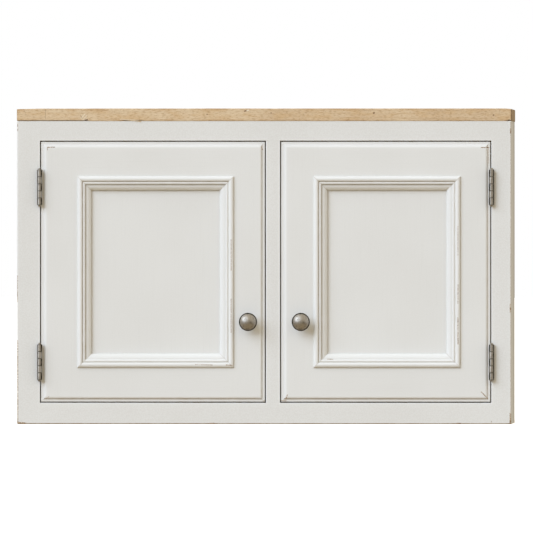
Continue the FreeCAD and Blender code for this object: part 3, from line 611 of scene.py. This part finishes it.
def side_paint(name, outer_x):
    """Painted outside and waxed pine inside, for a side panel that is duller towards the wall."""
    shader = Shader(name)
    x, y, z = shader.axes()
    back = shader.remap(y, -4 * MM, 0.0)
    foot = shader.remap(z, carcass_low + 5 * MM, carcass_low)
    edge = shader.larger(back, foot)
    joint = shader.remap(y, frame_back_y, frame_back_y + 2 * MM, 0.4, 0.0)
    paint_parts = paint_colours(shader, "z", edge, joint, 0.0)
    # The paint is made darker towards the back edge, by the wall
    darker_at_back = shader.mix(shader.remap(y, -210 * MM, -30 * MM, 0.0, 0.55), paint_parts[0], PAINT_BACK_DARK)
    wood_parts = wood_colours(shader, "z", WAXED_PALE, WAXED_TONE, (outer_x * 0.8, -0.12), 4.2 * MM)
    outside = shader.remap(shader.times(x, math.copysign(1.0, outer_x)),
                           abs(outer_x) - 1.2 * MM, abs(outer_x) - 0.6 * MM)
    colour = shader.mix(outside, wood_parts[0], darker_at_back)
    roughness = shader.remap(outside, 0.0, 1.0, 0.6, 0.42)
    height = shader.mix(outside, wood_parts[2], paint_parts[2])
    return shader.finish(colour, roughness, height, 0.25 * MM, 0.5)


PEWTER_LIGHT = rgb(0.405, 0.369, 0.318)
PEWTER_WORN = rgb(0.545, 0.507, 0.448)
PEWTER_DARK = rgb(0.034, 0.028, 0.020)
PEWTER_RIM = rgb(0.50, 0.47, 0.43)


def pewter(name, turned, light, barrel=None, door_way=1):
    """Antiqued pewter: brushed round the axis where turned, along the barrel where not.

    barrel is the box of a hinge's frame leaf and door_way the way to its door along x. The knuckle
    joints are dark, and the flanks carry painted shade, most on the flank away from the light and on
    the frame knuckles' flank towards the door.
    """
    shader = Shader(name)
    shader.set("Metallic", 1.0)
    shader.set("Specular Tint", PEWTER_RIM)
    sheen = 0.31 if turned else 0.22
    x, y, z = shader.axes()
    if turned:
        rings = shader.add("CombineXYZ", {0: shader.hypot(x, z), 1: y}).outputs[0]
        brush = shader.noise(2600, 2, 0.6, rings)
    else:
        brush = shader.grain("z", 0.08, 1800, 2, 0.6)
    patch = shader.noise(160, 4, 0.6)
    pit = shader.noise(900, 2, 0.5)
    tarnish_and_shade = shader.total((shader.attribute("recess"), 0.9), (shader.remap(patch, 0.45, 0.7), 0.4),
                           (shader.remap(pit, 0.6, 0.72), 0.45))
    if barrel:
        low, high = barrel
        radius = (high.x - low.x) / 2
        length = (high.z - low.z) / KNUCKLES
        middle = (low.x + high.x) / 2
        across = shader.total((x, door_way / radius), (1.0, -door_way * middle / radius))
        turns = shader.total((z, 1 / length), (1.0, -low.z / length))
        of_frame = shader.math("LESS_THAN", shader.math("MODULO", turns, 2.0), 1.0)
        door_flank = shader.remap(across, shader.total((of_frame, -0.30), (1.0, 0.60)),
                                  shader.total((of_frame, -0.35), (1.0, 0.95)))
        lit_share = 0.55 if door_way > 0 else 0.35
        flank = shader.larger(shader.remap(across, -lit_share, -lit_share - 0.4), door_flank)
        offset = shader.apart(shader.math("FRACT", turns), 0.5)
        joint = shader.remap(offset, 0.5 - 1.2 * MM / length, 0.5 - 0.3 * MM / length)
        uneven = shader.remap(patch, 0.2, 0.6, 0.75, 1.0)
        dark = shader.times(shader.larger(flank, joint), uneven)
        rolled = shader.remap(y, face_y, face_y - 1 * MM)
        # The dark flanks are painted shade; the joints are dark joints
        tarnish_and_shade = shader.larger(tarnish_and_shade, shader.times(dark, rolled))
    colour = shader.mix(tarnish_and_shade, light, PEWTER_DARK)
    roughness = shader.total((brush, 0.14), (patch, 0.16), (tarnish_and_shade, 0.15), (1.0, sheen))
    height = shader.total((brush, 0.5), (patch, 0.4), (pit, -0.3))
    return shader.finish(colour, roughness, height, 0.08 * MM, 0.35)


def bright_metal(name, light, dark, roughness_base):
    """Plated steel with fine scratches and duller patches."""
    shader = Shader(name)
    shader.set("Metallic", 1.0)
    patch = shader.noise(300, 3, 0.6)
    scratch = shader.grain("x", 0.1, 2400, 2, 0.6)
    colour = shader.mix(shader.remap(patch, 0.4, 0.7), light, dark)
    roughness = shader.total((patch, 0.2), (scratch, 0.1), (1.0, roughness_base))
    return shader.finish(colour, roughness, scratch, 0.05 * MM, 0.3)


# Materials; on the frame the specks are stronger than on the doors,
# and the last number sets the painted highlight on edges
frame_upright = paint("frame_upright", "z", 0.07, 0.8)
frame_level = paint("frame_level", "x", 0.07, 0.8)
paint_upright = paint("paint_upright", "z", 0.015, 0.8)
paint_level = paint("paint_level", "x", 0.015, 1.1)
turned_pewter = pewter("turned_pewter", True, PEWTER_LIGHT)
rolled_pewter = pewter("rolled_pewter", False, PEWTER_LIGHT)
steel = bright_metal("steel", rgb(0.52, 0.50, 0.46), rgb(0.27, 0.25, 0.22), 0.24)
nickel = bright_metal("nickel", rgb(0.62, 0.61, 0.59), rgb(0.42, 0.41, 0.39), 0.16)


# Face frame
def hinge_slots(edge, into, body_word):
    """The leaf recesses in an upright, as rectangles that reach from its edge into the wood."""
    side = "left" if edge < 0 else "right"
    low_x, high_x = sorted((edge, edge + into * LEAF_RECESS))
    leaves = [box[f"{side}_{level}_hinge_{body_word}_leaf"] for level in LEVELS]
    return [(low_x, high_x, low.z, high.z) for low, high in leaves]


def slot_cuts(slots):
    """The lattice lines on x and on z that make the walls of the leaf recesses square."""
    x_lines = close_pairs(line for slot in slots for line in slot[:2])
    z_lines = close_pairs(line for slot in slots for line in slot[2:])
    return x_lines, z_lines


def opening_gap(x, z):
    """Distance from a point of the face frame to the nearest door opening."""
    level = max(opening_low - z, 0.0, z - opening_high)
    return min(math.hypot(max(low - x, 0.0, x - high), level) for low, high in OPENINGS.values())


def frame_member(name, span_x, span_z, soft, material, slots):
    """One stile or rail of the face frame, rounded over towards the openings."""
    slot_x, slot_z = slot_cuts(slots)
    opening_x = close_pairs(limit for pair in OPENINGS.values() for limit in pair)
    step_x, step_z = (5 * MM, 8 * MM) if material is frame_level else (8 * MM, 5 * MM)
    lines = (
        cuts(*span_x, step_x, EDGE_CUTS, EDGE_CUTS, [*slot_x, *opening_x]),
        cuts(face_y, frame_back_y, 6 * MM, EDGE_CUTS[:3], EDGE_CUTS[:3]),
        cuts(*span_z, step_z, EDGE_CUTS, EDGE_CUTS, slot_z),
    )

    def relief(x, z):
        return rounding(opening_gap(x, z), OPENING_ARRIS)

    def marks(point):
        # The paint is made darker along the bottom edge
        foot = smooth(2.5 * MM, 1.0 * MM, point.z - carcass_low)
        gap = opening_gap(point.x, point.z)
        depth = point.y - face_y - OPENING_ARRIS
        # Painted shade on the walls of the gaps round the doors
        if gap < GAP_WALL and depth > 0.0:
            return 0.0, GAP_SHADE * fade(depth, GAP_SHADE_DEPTH)
        # Edge weight at the openings, for wear and a painted highlight
        return 0.8 * fade(gap, OPENING_RUB_AND_HIGHLIGHT), foot

    mesh = board(f"{name}_wood", lines, soft, relief, marks, slots, seed=len(name) * 1.3)
    add_piece(mesh, name, material)


def build_face_frame():
    left_low, left_high = OPENINGS["left"]
    right_low, right_high = OPENINGS["right"]
    across = (left_low, right_high)
    upright = (carcass_low, carcass_high)
    left_slots = hinge_slots(left_low, -1, "frame")
    right_slots = hinge_slots(right_high, 1, "frame")
    outer = {"y-", "y+", "z-"}
    inner = {"y+"}
    for name, span_x, span_z, soft, slots in (
            ("left_stile", (carcass_left, left_low), upright, outer | {"x-"}, left_slots),
            ("right_stile", (right_high, carcass_right), upright, outer | {"x+"}, right_slots),
            ("mid_stile", (left_high, right_low), (opening_low, opening_high), inner, ()),
            ("bottom_rail", across, (carcass_low, opening_low), outer, ()),
            ("top_rail", across, (opening_high, carcass_high), inner, ())):
        material = frame_level if span_x == across else frame_upright
        frame_member(f"frame_{name}", span_x, span_z, soft, material, slots)


# Doors
EDGE_LEDGE = 4.6 * MM
EDGE_ROUND = 6 * MM
EDGE_DROP = 2.2 * MM
SHOULDER_RADIUS = (EDGE_ROUND ** 2 + EDGE_DROP ** 2) / 2 / EDGE_DROP
LEDGE_ARRIS = 0.4 * MM
LEDGE_FOOT = EDGE_LEDGE + 0.8 * MM
LEDGE_RUB_AND_HIGHLIGHT = 2.4 * MM
LIP_REACH = 0.9 * MM
SHOULDER = 9 * MM
DOOR_CUTS = [offset * MM for offset in (0.25, 0.8, 2.4, 4.5, 4.65, 5.0, 5.4, 5.9, 6.8, 8, 9.3, 10.6, 13)]
MOULDING_WIDTH = 26 * MM
MOULDING_LAP = 10 * MM
SHADE_REACH = 0.95 * MM

# Along the sides of a door: wear and a painted highlight on its arris,
# then painted shade at the ledge's foot and on its lip, most on the lower and right sides, away from the
# light
SIDE_WEAR_AND_SHADE = {"lower": (0.4, 1.0, 0.65), "right": (0.4, 0.6, 0.5), "other": (0.9, 0.12, 0.0)}


def door_edge_depth(inset):
    """The door's edge profile: a ledge, then a quarter round up to the face."""
    if inset < EDGE_LEDGE:
        return EDGE_DROP + rounding(inset, LEDGE_ARRIS)
    climb = max(0.0, EDGE_LEDGE + EDGE_ROUND - inset)
    return SHOULDER_RADIUS - math.sqrt(SHOULDER_RADIUS ** 2 - climb ** 2)


def door_member(name, door, span_x, span_z, outer_sides, material, slots):
    """A stile or rail of a door, shaped by the profile that runs round the whole door."""
    slot_x, slot_z = slot_cuts(slots)
    fine = {side: DOOR_CUTS if side in outer_sides else () for side in ("x-", "x+", "z-", "z+")}
    step_x, step_z = (6 * MM, 9 * MM) if material is paint_level else (9 * MM, 6 * MM)
    lines = (
        cuts(*span_x, step_x, fine["x-"], fine["x+"], slot_x),
        cuts(face_y, box[name][1].y, 6 * MM, (), EDGE_CUTS[:3]),
        cuts(*span_z, step_z, fine["z-"], fine["z+"], slot_z),
    )

    def relief(x, z):
        unevenness = 0.06 * MM * (1 + ripple((x, z, 0), 14, len(name)))
        return door_edge_depth(rectangle_inset(door, x, z)) + unevenness

    def marks(point):
        if point.y > face_y + GAP_SHADE_DEPTH:
            return 0.0, 0.0
        inset = rectangle_inset(door, point.x, point.z)
        depth = point.y - face_y - EDGE_DROP - LEDGE_ARRIS
        # Painted shade on the walls of the gap round the door
        if inset < GAP_WALL and depth > 0.0:
            return 0.0, GAP_SHADE * fade(depth, GAP_SHADE_DEPTH)
        side = "other"
        if inset == point.z - door[2]:
            side = "lower"
        elif inset == door[1] - point.x:
            side = "right"
        rub, foot_shade, lip_shade = SIDE_WEAR_AND_SHADE[side]
        # The arris and shoulder weights give wear and a painted highlight, the foot and lip weights painted
        # shade
        arris = rub * fade(inset, LEDGE_RUB_AND_HIGHLIGHT)
        shoulder = 0.6 * fade(abs(inset - SHOULDER), EDGE_RUB_AND_HIGHLIGHT)
        foot = foot_shade * fade(abs(inset - LEDGE_FOOT), SHADE_REACH)
        lip = lip_shade * fade(inset, LIP_REACH)
        return max(arris, shoulder), max(foot, lip)

    mesh = board(f"{name}_wood", lines, outer_sides | {"y+"}, relief, marks, slots, seed=len(name) * 0.7)
    add_piece(mesh, name, material)


def door_panel(name, opening):
    """The flat panel, a little uneven, with painted shade and grime where it meets the moulding."""
    low, high = box[name]

    def panel_cuts(axis, start, stop):
        near = []
        for offset in (-1, 0.6, 1.6, 3.2, 6, 10):
            near += [start + offset * MM, stop - offset * MM]
        return cuts(low[axis], high[axis], 12 * MM, extra=near)

    lines = (panel_cuts(0, *opening[:2]), [low.y, high.y], panel_cuts(2, *opening[2:]))

    def relief(x, z):
        return 0.12 * MM * (1 + ripple((x, z, 1), 11, 5.0))

    def marks(point):
        if point.y > low.y:
            return 0.0, 0.0
        # Painted shade and grime along the moulding's toe
        return 0.0, 0.1 * fade(rectangle_inset(opening, point.x, point.z), 1.4 * MM)

    mesh = board(f"{name}_wood", lines, set(), relief, marks, seed=4.0)
    add_piece(mesh, name, paint_upright)


def arc(start, stop, radius, steps):
    """Points after start along an arc that bulges to the left of the way from start to stop."""
    start, stop = Vector(start), Vector(stop)
    chord = stop - start
    normal = Vector((-chord.y, chord.x)).normalized()
    centre = (start + stop) / 2 - normal * math.sqrt(radius ** 2 - (chord.length / 2) ** 2)
    first = math.atan2(start.y - centre.y, start.x - centre.x)
    sweep = -2 * math.asin(chord.length / 2 / radius)
    angles = [first + sweep * step / steps for step in range(1, steps + 1)]
    return [centre + radius * Vector((math.cos(angle), math.sin(angle))) for angle in angles]


def moulding_outline():
    """The moulding's section as (inset, height over the face): big bead, small bead, ovolo."""
    corners = ((0.0, 0.8), (9.9, 2.2), (14.9, 1.6), (14.9, 0.6), (16.1, 0.6))
    toe, first_quirk, second_quirk, ovolo_foot, ovolo_top = (
        Vector((inset * MM, rise * MM)) for inset, rise in corners)
    panel_toe = Vector((MOULDING_WIDTH, -7.2 * MM))
    outline = [Vector((0.0, 0.0)), toe]
    outline += arc(toe, first_quirk, 5.7 * MM, 14)
    outline += arc(first_quirk, second_quirk, 2.8 * MM, 9)
    outline += [ovolo_foot, ovolo_top]
    outline += arc(ovolo_top, panel_toe, 10.5 * MM, 10)
    lap = MOULDING_LAP + 0.1 * MM
    back = -8 * MM
    outline += [Vector((MOULDING_WIDTH, back)), Vector((lap, back)), Vector((lap, 0.0))]
    return outline, (toe, first_quirk, ovolo_foot, panel_toe)


def moulding(name, origin, along, inward, length):
    """One mitred length of moulding: the section swept along, each point stopping at the mitres.

    On the lengths whose inner side faces down or to the right, away from the light, painted shade darkens
    the quirks and the panel toe, and on the others it darkens the outer foot, which faces away from it
    there.
    """
    outline, hollows = moulding_outline()
    # Painted shade in the hollows, set by which way the length faces the light
    painted_shade = (0.05, 1.0, 1.0, 1.0) if inward.x - inward.z > 0 else (0.95, 0.0, 0.0, 0.05)
    crest = max(point.y for point in outline)
    level = abs(along.x) > 0.5
    # Crest weight for wear and a painted highlight, stronger on the upright lengths
    rub_and_highlight = 0.1 if level else 0.62
    stations = [0.0, 0.5 * MM, 1.5 * MM, 4 * MM]
    count = round(length / (5 * MM))
    shares = [offset / length for offset in stations]
    shares += [step / count for step in range(2, count - 1)]
    shares += [1 - offset / length for offset in reversed(stations)]
    points = []
    weights = {"edge": [], "recess": []}
    for share in shares:
        for section in outline:
            inset, rise = section
            run = inset + share * (length - 2 * inset)
            point = origin + along * run + inward * inset + Vector((0, -rise, 0))
            recess = max(strength * fade((section - hollow).length, SHADE_REACH)
                         for hollow, strength in zip(hollows, painted_shade))
            mitre = 0.4 * fade(min(run - inset, length - inset - run), 0.6 * MM)
            if rise > 0.3 * MM:
                loss = 0.35 * MM * knock_at(point) + 0.05 * MM * ripple(point, 40, length)
                point.y += max(0.0, loss)
            points.append(point)
            weights["edge"].append(rub_and_highlight * smooth(crest - 1.2 * MM, crest, rise))
            weights["recess"].append(max(recess, mitre))
    size = len(outline)
    faces = [list(range(size)), list(range(len(points) - size, len(points)))]
    faces += tube_faces(len(shares), size)
    mesh = make_mesh(f"{name}_wood", points, faces, weights)
    material = paint_level if level else paint_upright
    add_piece(mesh, name, material, sharp=42)


def build_door(side):
    prefix = f"{side}_door"
    left_kind, right_kind = ("hinge", "lock") if side == "left" else ("lock", "hinge")
    left_stile, right_stile = (box[f"{prefix}_{kind}_stile"] for kind in (left_kind, right_kind))
    door = (left_stile[0].x, right_stile[1].x, left_stile[0].z, left_stile[1].z)
    between = (left_stile[1].x, right_stile[0].x)
    height = door[2:]
    hinge_edge, into = (door[0], 1) if side == "left" else (door[1], -1)
    slots = {"hinge": hinge_slots(hinge_edge, into, "door"), "lock": ()}
    for kind, span, own_side in ((left_kind, (door[0], between[0]), "x-"),
                                 (right_kind, (between[1], door[1]), "x+")):
        sides = {own_side, "z-", "z+"}
        door_member(f"{prefix}_{kind}_stile", door, span, height, sides, paint_upright, slots[kind])
    low_x = box[f"{prefix}_moulding_top"][0].x
    low_z = box[f"{prefix}_moulding_bottom"][0].z
    high_x, _, high_z = box[f"{prefix}_moulding_top"][1]
    for kind, span, own_side in (("top", (high_z - MOULDING_LAP, height[1]), "z+"),
                                 ("bottom", (height[0], low_z + MOULDING_LAP), "z-")):
        door_member(f"{prefix}_{kind}_rail", door, between, span, {own_side}, paint_level, ())
    opening = (low_x + MOULDING_WIDTH, high_x - MOULDING_WIDTH,
               low_z + MOULDING_WIDTH, high_z - MOULDING_WIDTH)
    door_panel(f"{prefix}_panel", opening)
    right, up = Vector((1, 0, 0)), Vector((0, 0, 1))
    width, rise = high_x - low_x, high_z - low_z
    for kind, x, z, along, inward, length in (
            ("top", low_x, high_z, right, -up, width),
            ("bottom", high_x, low_z, -right, up, width),
            (f"{right_kind}_side", high_x, high_z, -up, -right, rise),
            (f"{left_kind}_side", low_x, low_z, up, right, rise)):
        moulding(f"{prefix}_moulding_{kind}", Vector((x, face_y, z)), along, inward, length)


# Knobs
KNOB_RIM = 16.5 * MM
KNOB_RIM_LOW = 18 * MM
KNOB_GROOVE = 15.3 * MM
SPOKES = 72


def knob_outline(tall):
    """The knob's section as (radius, height over the door), from foot to crown."""
    foot = ((0.0, 0.0), (8.0, 0.0), (8.5, 0.4), (8.5, 2.0), (8.1, 2.4), (5.5, 2.4))
    outline = [(radius * MM, rise * MM) for radius, rise in foot]
    cove = arc(outline[-1], (KNOB_RIM - 0.5 * MM, KNOB_RIM_LOW), 14 * MM, 12)
    outline += [tuple(point) for point in cove]
    for inset, rise in ((0.15, 0.1), (0.0, 0.45), (0.0, 1.2), (0.2, 1.65), (0.7, 1.9)):
        outline.append((KNOB_RIM - inset * MM, KNOB_RIM_LOW + rise * MM))
    for inset, rise in ((-0.15, 1.75), (0.2, 1.9)):
        outline.append((KNOB_GROOVE - inset * MM, KNOB_RIM_LOW + rise * MM))
    dome_base = KNOB_GROOVE - 0.5 * MM
    dome_rise = tall - (KNOB_RIM_LOW + 2.6 * MM)
    dome_radius = (dome_base ** 2 + dome_rise ** 2) / 2 / dome_rise
    half = math.asin(dome_base / dome_radius)
    steps = 18
    for step in range(steps + 1):
        angle = half * (1 - step / steps)
        outline.append((dome_radius * math.sin(angle), tall - dome_radius * (1 - math.cos(angle))))
    return outline


def knob(side):
    """A turned knob: foot, neck, cove, a rim with a fine groove, and a low dome."""
    low, high = box[f"{side}_knob"]
    centre = Vector(((low.x + high.x) / 2, high.y, (low.z + high.z) / 2))
    outline = knob_outline(high.y - low.y)
    points = []
    recess = []
    for radius, rise in outline:
        if rise > KNOB_RIM_LOW:
            deep = smooth(KNOB_GROOVE - 1.0 * MM, KNOB_GROOVE - 0.1 * MM, radius)
        else:
            deep = smooth(KNOB_RIM_LOW, 4 * MM, rise)
        for spoke in range(SPOKES):
            turn = 2 * math.pi * spoke / SPOKES
            points.append(Vector((radius * math.cos(turn), -rise, radius * math.sin(turn))))
            recess.append(deep)
    mesh = make_mesh(f"{side}_knob_turned", points, tube_faces(len(outline), SPOKES), {"recess": recess})
    add_piece(mesh, f"{side}_knob", turned_pewter, 45, centre)


# Top board
# Where splinters are gone from the lower front edge: from x, to x, and how high
BROKEN = [(-0.4530, -0.3200, 1.1 * MM), (-0.2560, -0.2220, 1.1 * MM), (0.4435, 0.4530, 1.7 * MM)]
BROKEN_DEPTH = 9 * MM
# A sliver still hanging there, as x and z in millimetres
SLIVER = [(-262.0, 42.0), (-244.0, 40.7), (-229.0, 39.4), (-222.5, 38.2), (-224.5, 39.9), (-241.0, 41.8)]
# Where the top falls away towards its ends: from x, to x, and how far
FALLEN_ENDS = [(-0.40, -0.45, 1.0 * MM), (0.438, 0.451, 0.9 * MM)]
# How much the left end was sawn short, and how far over its underside the board keeps its level
SAWN_SHORT = 0.9 * MM
LEVEL_PART = 12 * MM


def build_top_board():
    low, high = box["top_board"]
    lines = (
        cuts(low.x + SAWN_SHORT, high.x, 3.5 * MM, EDGE_CUTS, EDGE_CUTS),
        cuts(low.y, high.y, 12 * MM, EDGE_CUTS, EDGE_CUTS[:3]),
        cuts(low.z, high.z, 2.2 * MM, EDGE_CUTS[:4], EDGE_CUTS[:4]),
    )

    def relief(x, z):
        lip = 0.0
        for start, stop, rise in BROKEN:
            inside = smooth(start - 2 * MM, start + 2 * MM, x) * smooth(stop + 2 * MM, stop - 2 * MM, x)
            lip = max(lip, inside * rise * (1 + 0.25 * ripple((x, 0, 0), 60)))
        gone = smooth(lip, lip - 0.4 * MM, z - low.z) if lip > 0.2 * MM else 0.0
        saw = 0.12 * MM * (1 + ripple((x * 0.3, z, 0), 260))
        return BROKEN_DEPTH * gone + saw

    def shape(point, moved):
        sag = 0.16 * MM * (1 + ripple((point.x, 0.2 * point.y, 0), 7, 8.0))
        sag += 0.07 * MM * (1 + ripple((point.x, 0.3 * point.y, 0), 40, 2.0))
        sag += sum(drop * smooth(start, stop, point.x) for start, stop, drop in FALLEN_ENDS)
        moved.z -= sag * smooth(low.z + LEVEL_PART, high.z, point.z)
        return moved

    soft = {letter + sign for letter in "xyz" for sign in "-+"}
    mesh = board("top_board_wood", lines, soft, relief, shape=shape,
                 wave=0.1 * MM, chip=0.7 * MM, seed=2.0)
    knots = [(-0.295, "y", -0.185, 9 * MM), (0.120, "y", -0.110, 7 * MM), (0.335, "y", -0.235, 11 * MM)]
    finish = top_board_pine("top_board_pine", knots)
    add_piece(mesh, "top_board", finish)
    count = len(SLIVER)
    points = [Vector((x * MM, y, z * MM)) for y in (low.y, face_y - 0.05 * MM) for x, z in SLIVER]
    faces = [list(range(count)), list(range(count, 2 * count)), *tube_faces(2, count)]
    sliver = make_mesh("top_board_sliver", points, faces, {})
    add_piece(sliver, "top_board", finish, replace=False)


# CAD nodes that keep their shape
WOOD_BEVEL = 0.5 * MM
BACK_BEVEL = 0.4 * MM
METAL_BEVEL = 0.15 * MM


def dress(names, material, bevel=0.0):
    """Gives CAD nodes a material and, where asked, softened edges."""
    for name in names:
        node = frame["nodes"][name]
        node.data.materials.clear()
        node.data.materials.append(material)
        if bevel:
            weld = node.modifiers.new("weld", "WELD")
            weld.merge_threshold = WELD_GAP
            soften = node.modifiers.new("soften", "BEVEL")
            soften.width = bevel
            soften.segments = 2
            soften.limit_method = "ANGLE"
            soften.angle_limit = math.radians(40)
            even = node.modifiers.new("even", "WEIGHTED_NORMAL")
            even.weight = 100
            even.keep_sharp = True


def dress_nodes():
    for side, outer_x in zip(SIDES, (carcass_left, carcass_right)):
        dress([f"{side}_side_panel"], side_paint(f"{side}_side_finish", outer_x), WOOD_BEVEL)
    level_boards = {
        "bottom_panel": (-0.10, -0.53, [(0.19, "y", -0.14, 8 * MM), (-0.27, "y", -0.21, 6 * MM)]),
        "top_panel": (-0.19, 0.10, []),
        "shelf": (-0.15, -0.31, [(-0.21, "y", -0.19, 8 * MM), (0.27, "y", -0.09, 10 * MM)]),
        "upper_hanging_rail": (0.05, -0.02, [(0.13, "z", -0.005, 7 * MM)]),
        "lower_hanging_rail": (0.06, -0.49, [(-0.3, "z", -0.48, 8 * MM)]),
        "door_stop_batten": (-0.33, 0.03, []),
    }
    for name, (pith_y, pith_z, knots) in level_boards.items():
        finish = waxed_pine(f"{name}_pine", "x", (pith_y, pith_z), 4 * MM, knots)
        dress([name], finish, WOOD_BEVEL)
    for number in range(1, 7):
        name = f"back_board_{number}"
        low, high = box[name]
        middle = (low.x + high.x) / 2 + 0.012 * math.sin(5 * number)
        knots = [(-0.41 + 0.31 * ((number * 0.37) % 1), "x", middle + 0.02, (5 + number % 3 * 2) * MM)]
        depth = 0.03 + 0.02 * (number % 3)
        finish = waxed_pine(f"{name}_pine", "z", (middle, depth), 4.4 * MM, knots)
        dress([name], finish, BACK_BEVEL)
    for hinge in [f"{side}_{level}_hinge" for side in SIDES for level in LEVELS]:
        door_way = 1 if hinge.startswith("left") else -1
        finish = pewter(f"{hinge}_pewter", False, PEWTER_WORN, box[f"{hinge}_frame_leaf"], door_way)
        dress([f"{hinge}_frame_leaf", f"{hinge}_door_leaf"], finish, METAL_BEVEL)
    dress(["hinge_pins"], rolled_pewter, METAL_BEVEL)
    screws = [name for name in box if name.endswith(("screws", "_bolt", "_stud"))]
    dress(screws + ["shelf_pins"], steel)
    dress(["catch_magnets"], nickel)


# Studio
IMAGE = 533
PIXELS_PER_METRE = 549.3
CAMERA_DISTANCE = 36.0
CAMERA_RISE = 0.08
SIDE_STRIP = 6.5 * MM
AIM_RIGHT = 4.7 * MM
AIM_DOWN = 0.4 * MM
SENSOR = 36.0

# The surround's colours, from straight down at 0 to straight up at 1
SURROUND = [
    (0.0, rgb(0.453, 0.360, 0.218)),
    (0.30, rgb(0.556, 0.450, 0.285)),
    (0.39, rgb(0.247, 0.200, 0.133)),
    (0.50, rgb(0.247, 0.210, 0.142)),
    (0.56, rgb(0.567, 0.500, 0.389)),
    (0.66, rgb(0.803, 0.730, 0.589)),
    (1.0, rgb(0.886, 0.820, 0.684)),
]

# Each light's name, the way it shines, its spread in degrees, strength and colour
LIGHTS = [
    ("key", (1.0, 1.0, -0.84), 48, 2.60, (0.66, 0.79, 1.0)),
    ("fill", (-1.0, 0.1, -0.2), 60, 0.55, (0.72, 0.82, 1.0)),
]

FLOOR_REACH = 60.0
FLOOR_GAP = 0.2 * MM
FLOOR_GLOW = 0.55


def turn_towards(thing, way):
    thing.rotation_euler = Vector(way).to_track_quat("-Z", "Y").to_euler()


def build_camera():
    """A long lens square to the front, a little to the right so that the right side just shows."""
    swing = carcass_right + SIDE_STRIP * CAMERA_DISTANCE / -face_y
    middle_z = (carcass_low + box["top_board"][1].z) / 2
    target = Vector((AIM_RIGHT, face_y, middle_z - AIM_DOWN))
    place = target + Vector((swing, -math.sqrt(CAMERA_DISTANCE ** 2 - swing ** 2), CAMERA_RISE))
    data = bpy.data.cameras.new("camera")
    data.sensor_width = SENSOR
    data.lens = SENSOR * CAMERA_DISTANCE * PIXELS_PER_METRE / IMAGE
    data.clip_end = 200
    camera = add_object("camera", data)
    camera.location = place
    turn_towards(camera, target - place)
    scene.camera = camera


def build_world():
    """A plain soft surround: pale above, a dim horizon, warm below, and white to the camera."""
    world = bpy.data.worlds.new("studio")
    scene.world = world
    tree = Tree(world, "Generated")
    level = tree.add("MapRange", {"Value": tree.axes()[2], "From Min": -1.0}).outputs["Result"]
    ramp = tree.add("ValToRGB", {"Fac": level})
    for place, _ in SURROUND[1:-1]:
        ramp.color_ramp.elements.new(place)
    for element, (place, colour) in zip(ramp.color_ramp.elements, SURROUND):
        element.position = place
        element.color = colour
    background = tree.nodes["Background"]
    tree.feed(background.inputs["Color"], ramp.outputs["Color"])
    white = tree.add("Background", {"Color": rgb(1, 1, 1)})
    to_camera = tree.add("LightPath").outputs["Is Camera Ray"]
    choose = tree.add("MixShader", {0: to_camera, 1: background.outputs[0], 2: white.outputs[0]})
    tree.feed(tree.nodes["World Output"].inputs["Surface"], choose.outputs[0])


def build_lights():
    """A big soft key from the upper left and a faint fill from the right."""
    for name, way, spread, energy, colour in LIGHTS:
        data = bpy.data.lights.new(name, "SUN")
        data.angle = math.radians(spread)
        data.energy = energy
        data.color = colour
        turn_towards(add_object(name, data), way)


def build_floor():
    """A plain pale floor under the cabinet, lit from within so that shadows on it are faint."""
    shader = Shader("pale_floor")
    mottle = shader.noise(3, 3)
    colour = shader.mix(mottle, rgb(0.985, 0.98, 0.975), rgb(0.97, 0.965, 0.96))
    material = shader.finish(colour, shader.remap(mottle, 0.3, 0.7, 0.75, 0.9), mottle, 0.1 * MM, 0.1)
    shader.set("Emission Color", rgb(1, 1, 1))
    shader.set("Emission Strength", FLOOR_GLOW)
    corners = [(FLOOR_REACH * x, FLOOR_REACH * y, carcass_low - FLOOR_GAP)
               for x, y in ((-1, -1), (1, -1), (1, 1), (-1, 1))]
    mesh = bpy.data.meshes.new("floor")
    mesh.from_pydata(corners, [], [(0, 1, 2, 3)])
    mesh.materials.append(material)
    floor = add_object("floor", mesh)
    floor.visible_diffuse = False
    floor.visible_glossy = False


build_face_frame()
for side in SIDES:
    build_door(side)
    knob(side)
build_top_board()
dress_nodes()
build_camera()
build_world()
build_lights()
build_floor()
scene.view_settings.view_transform = "Standard"
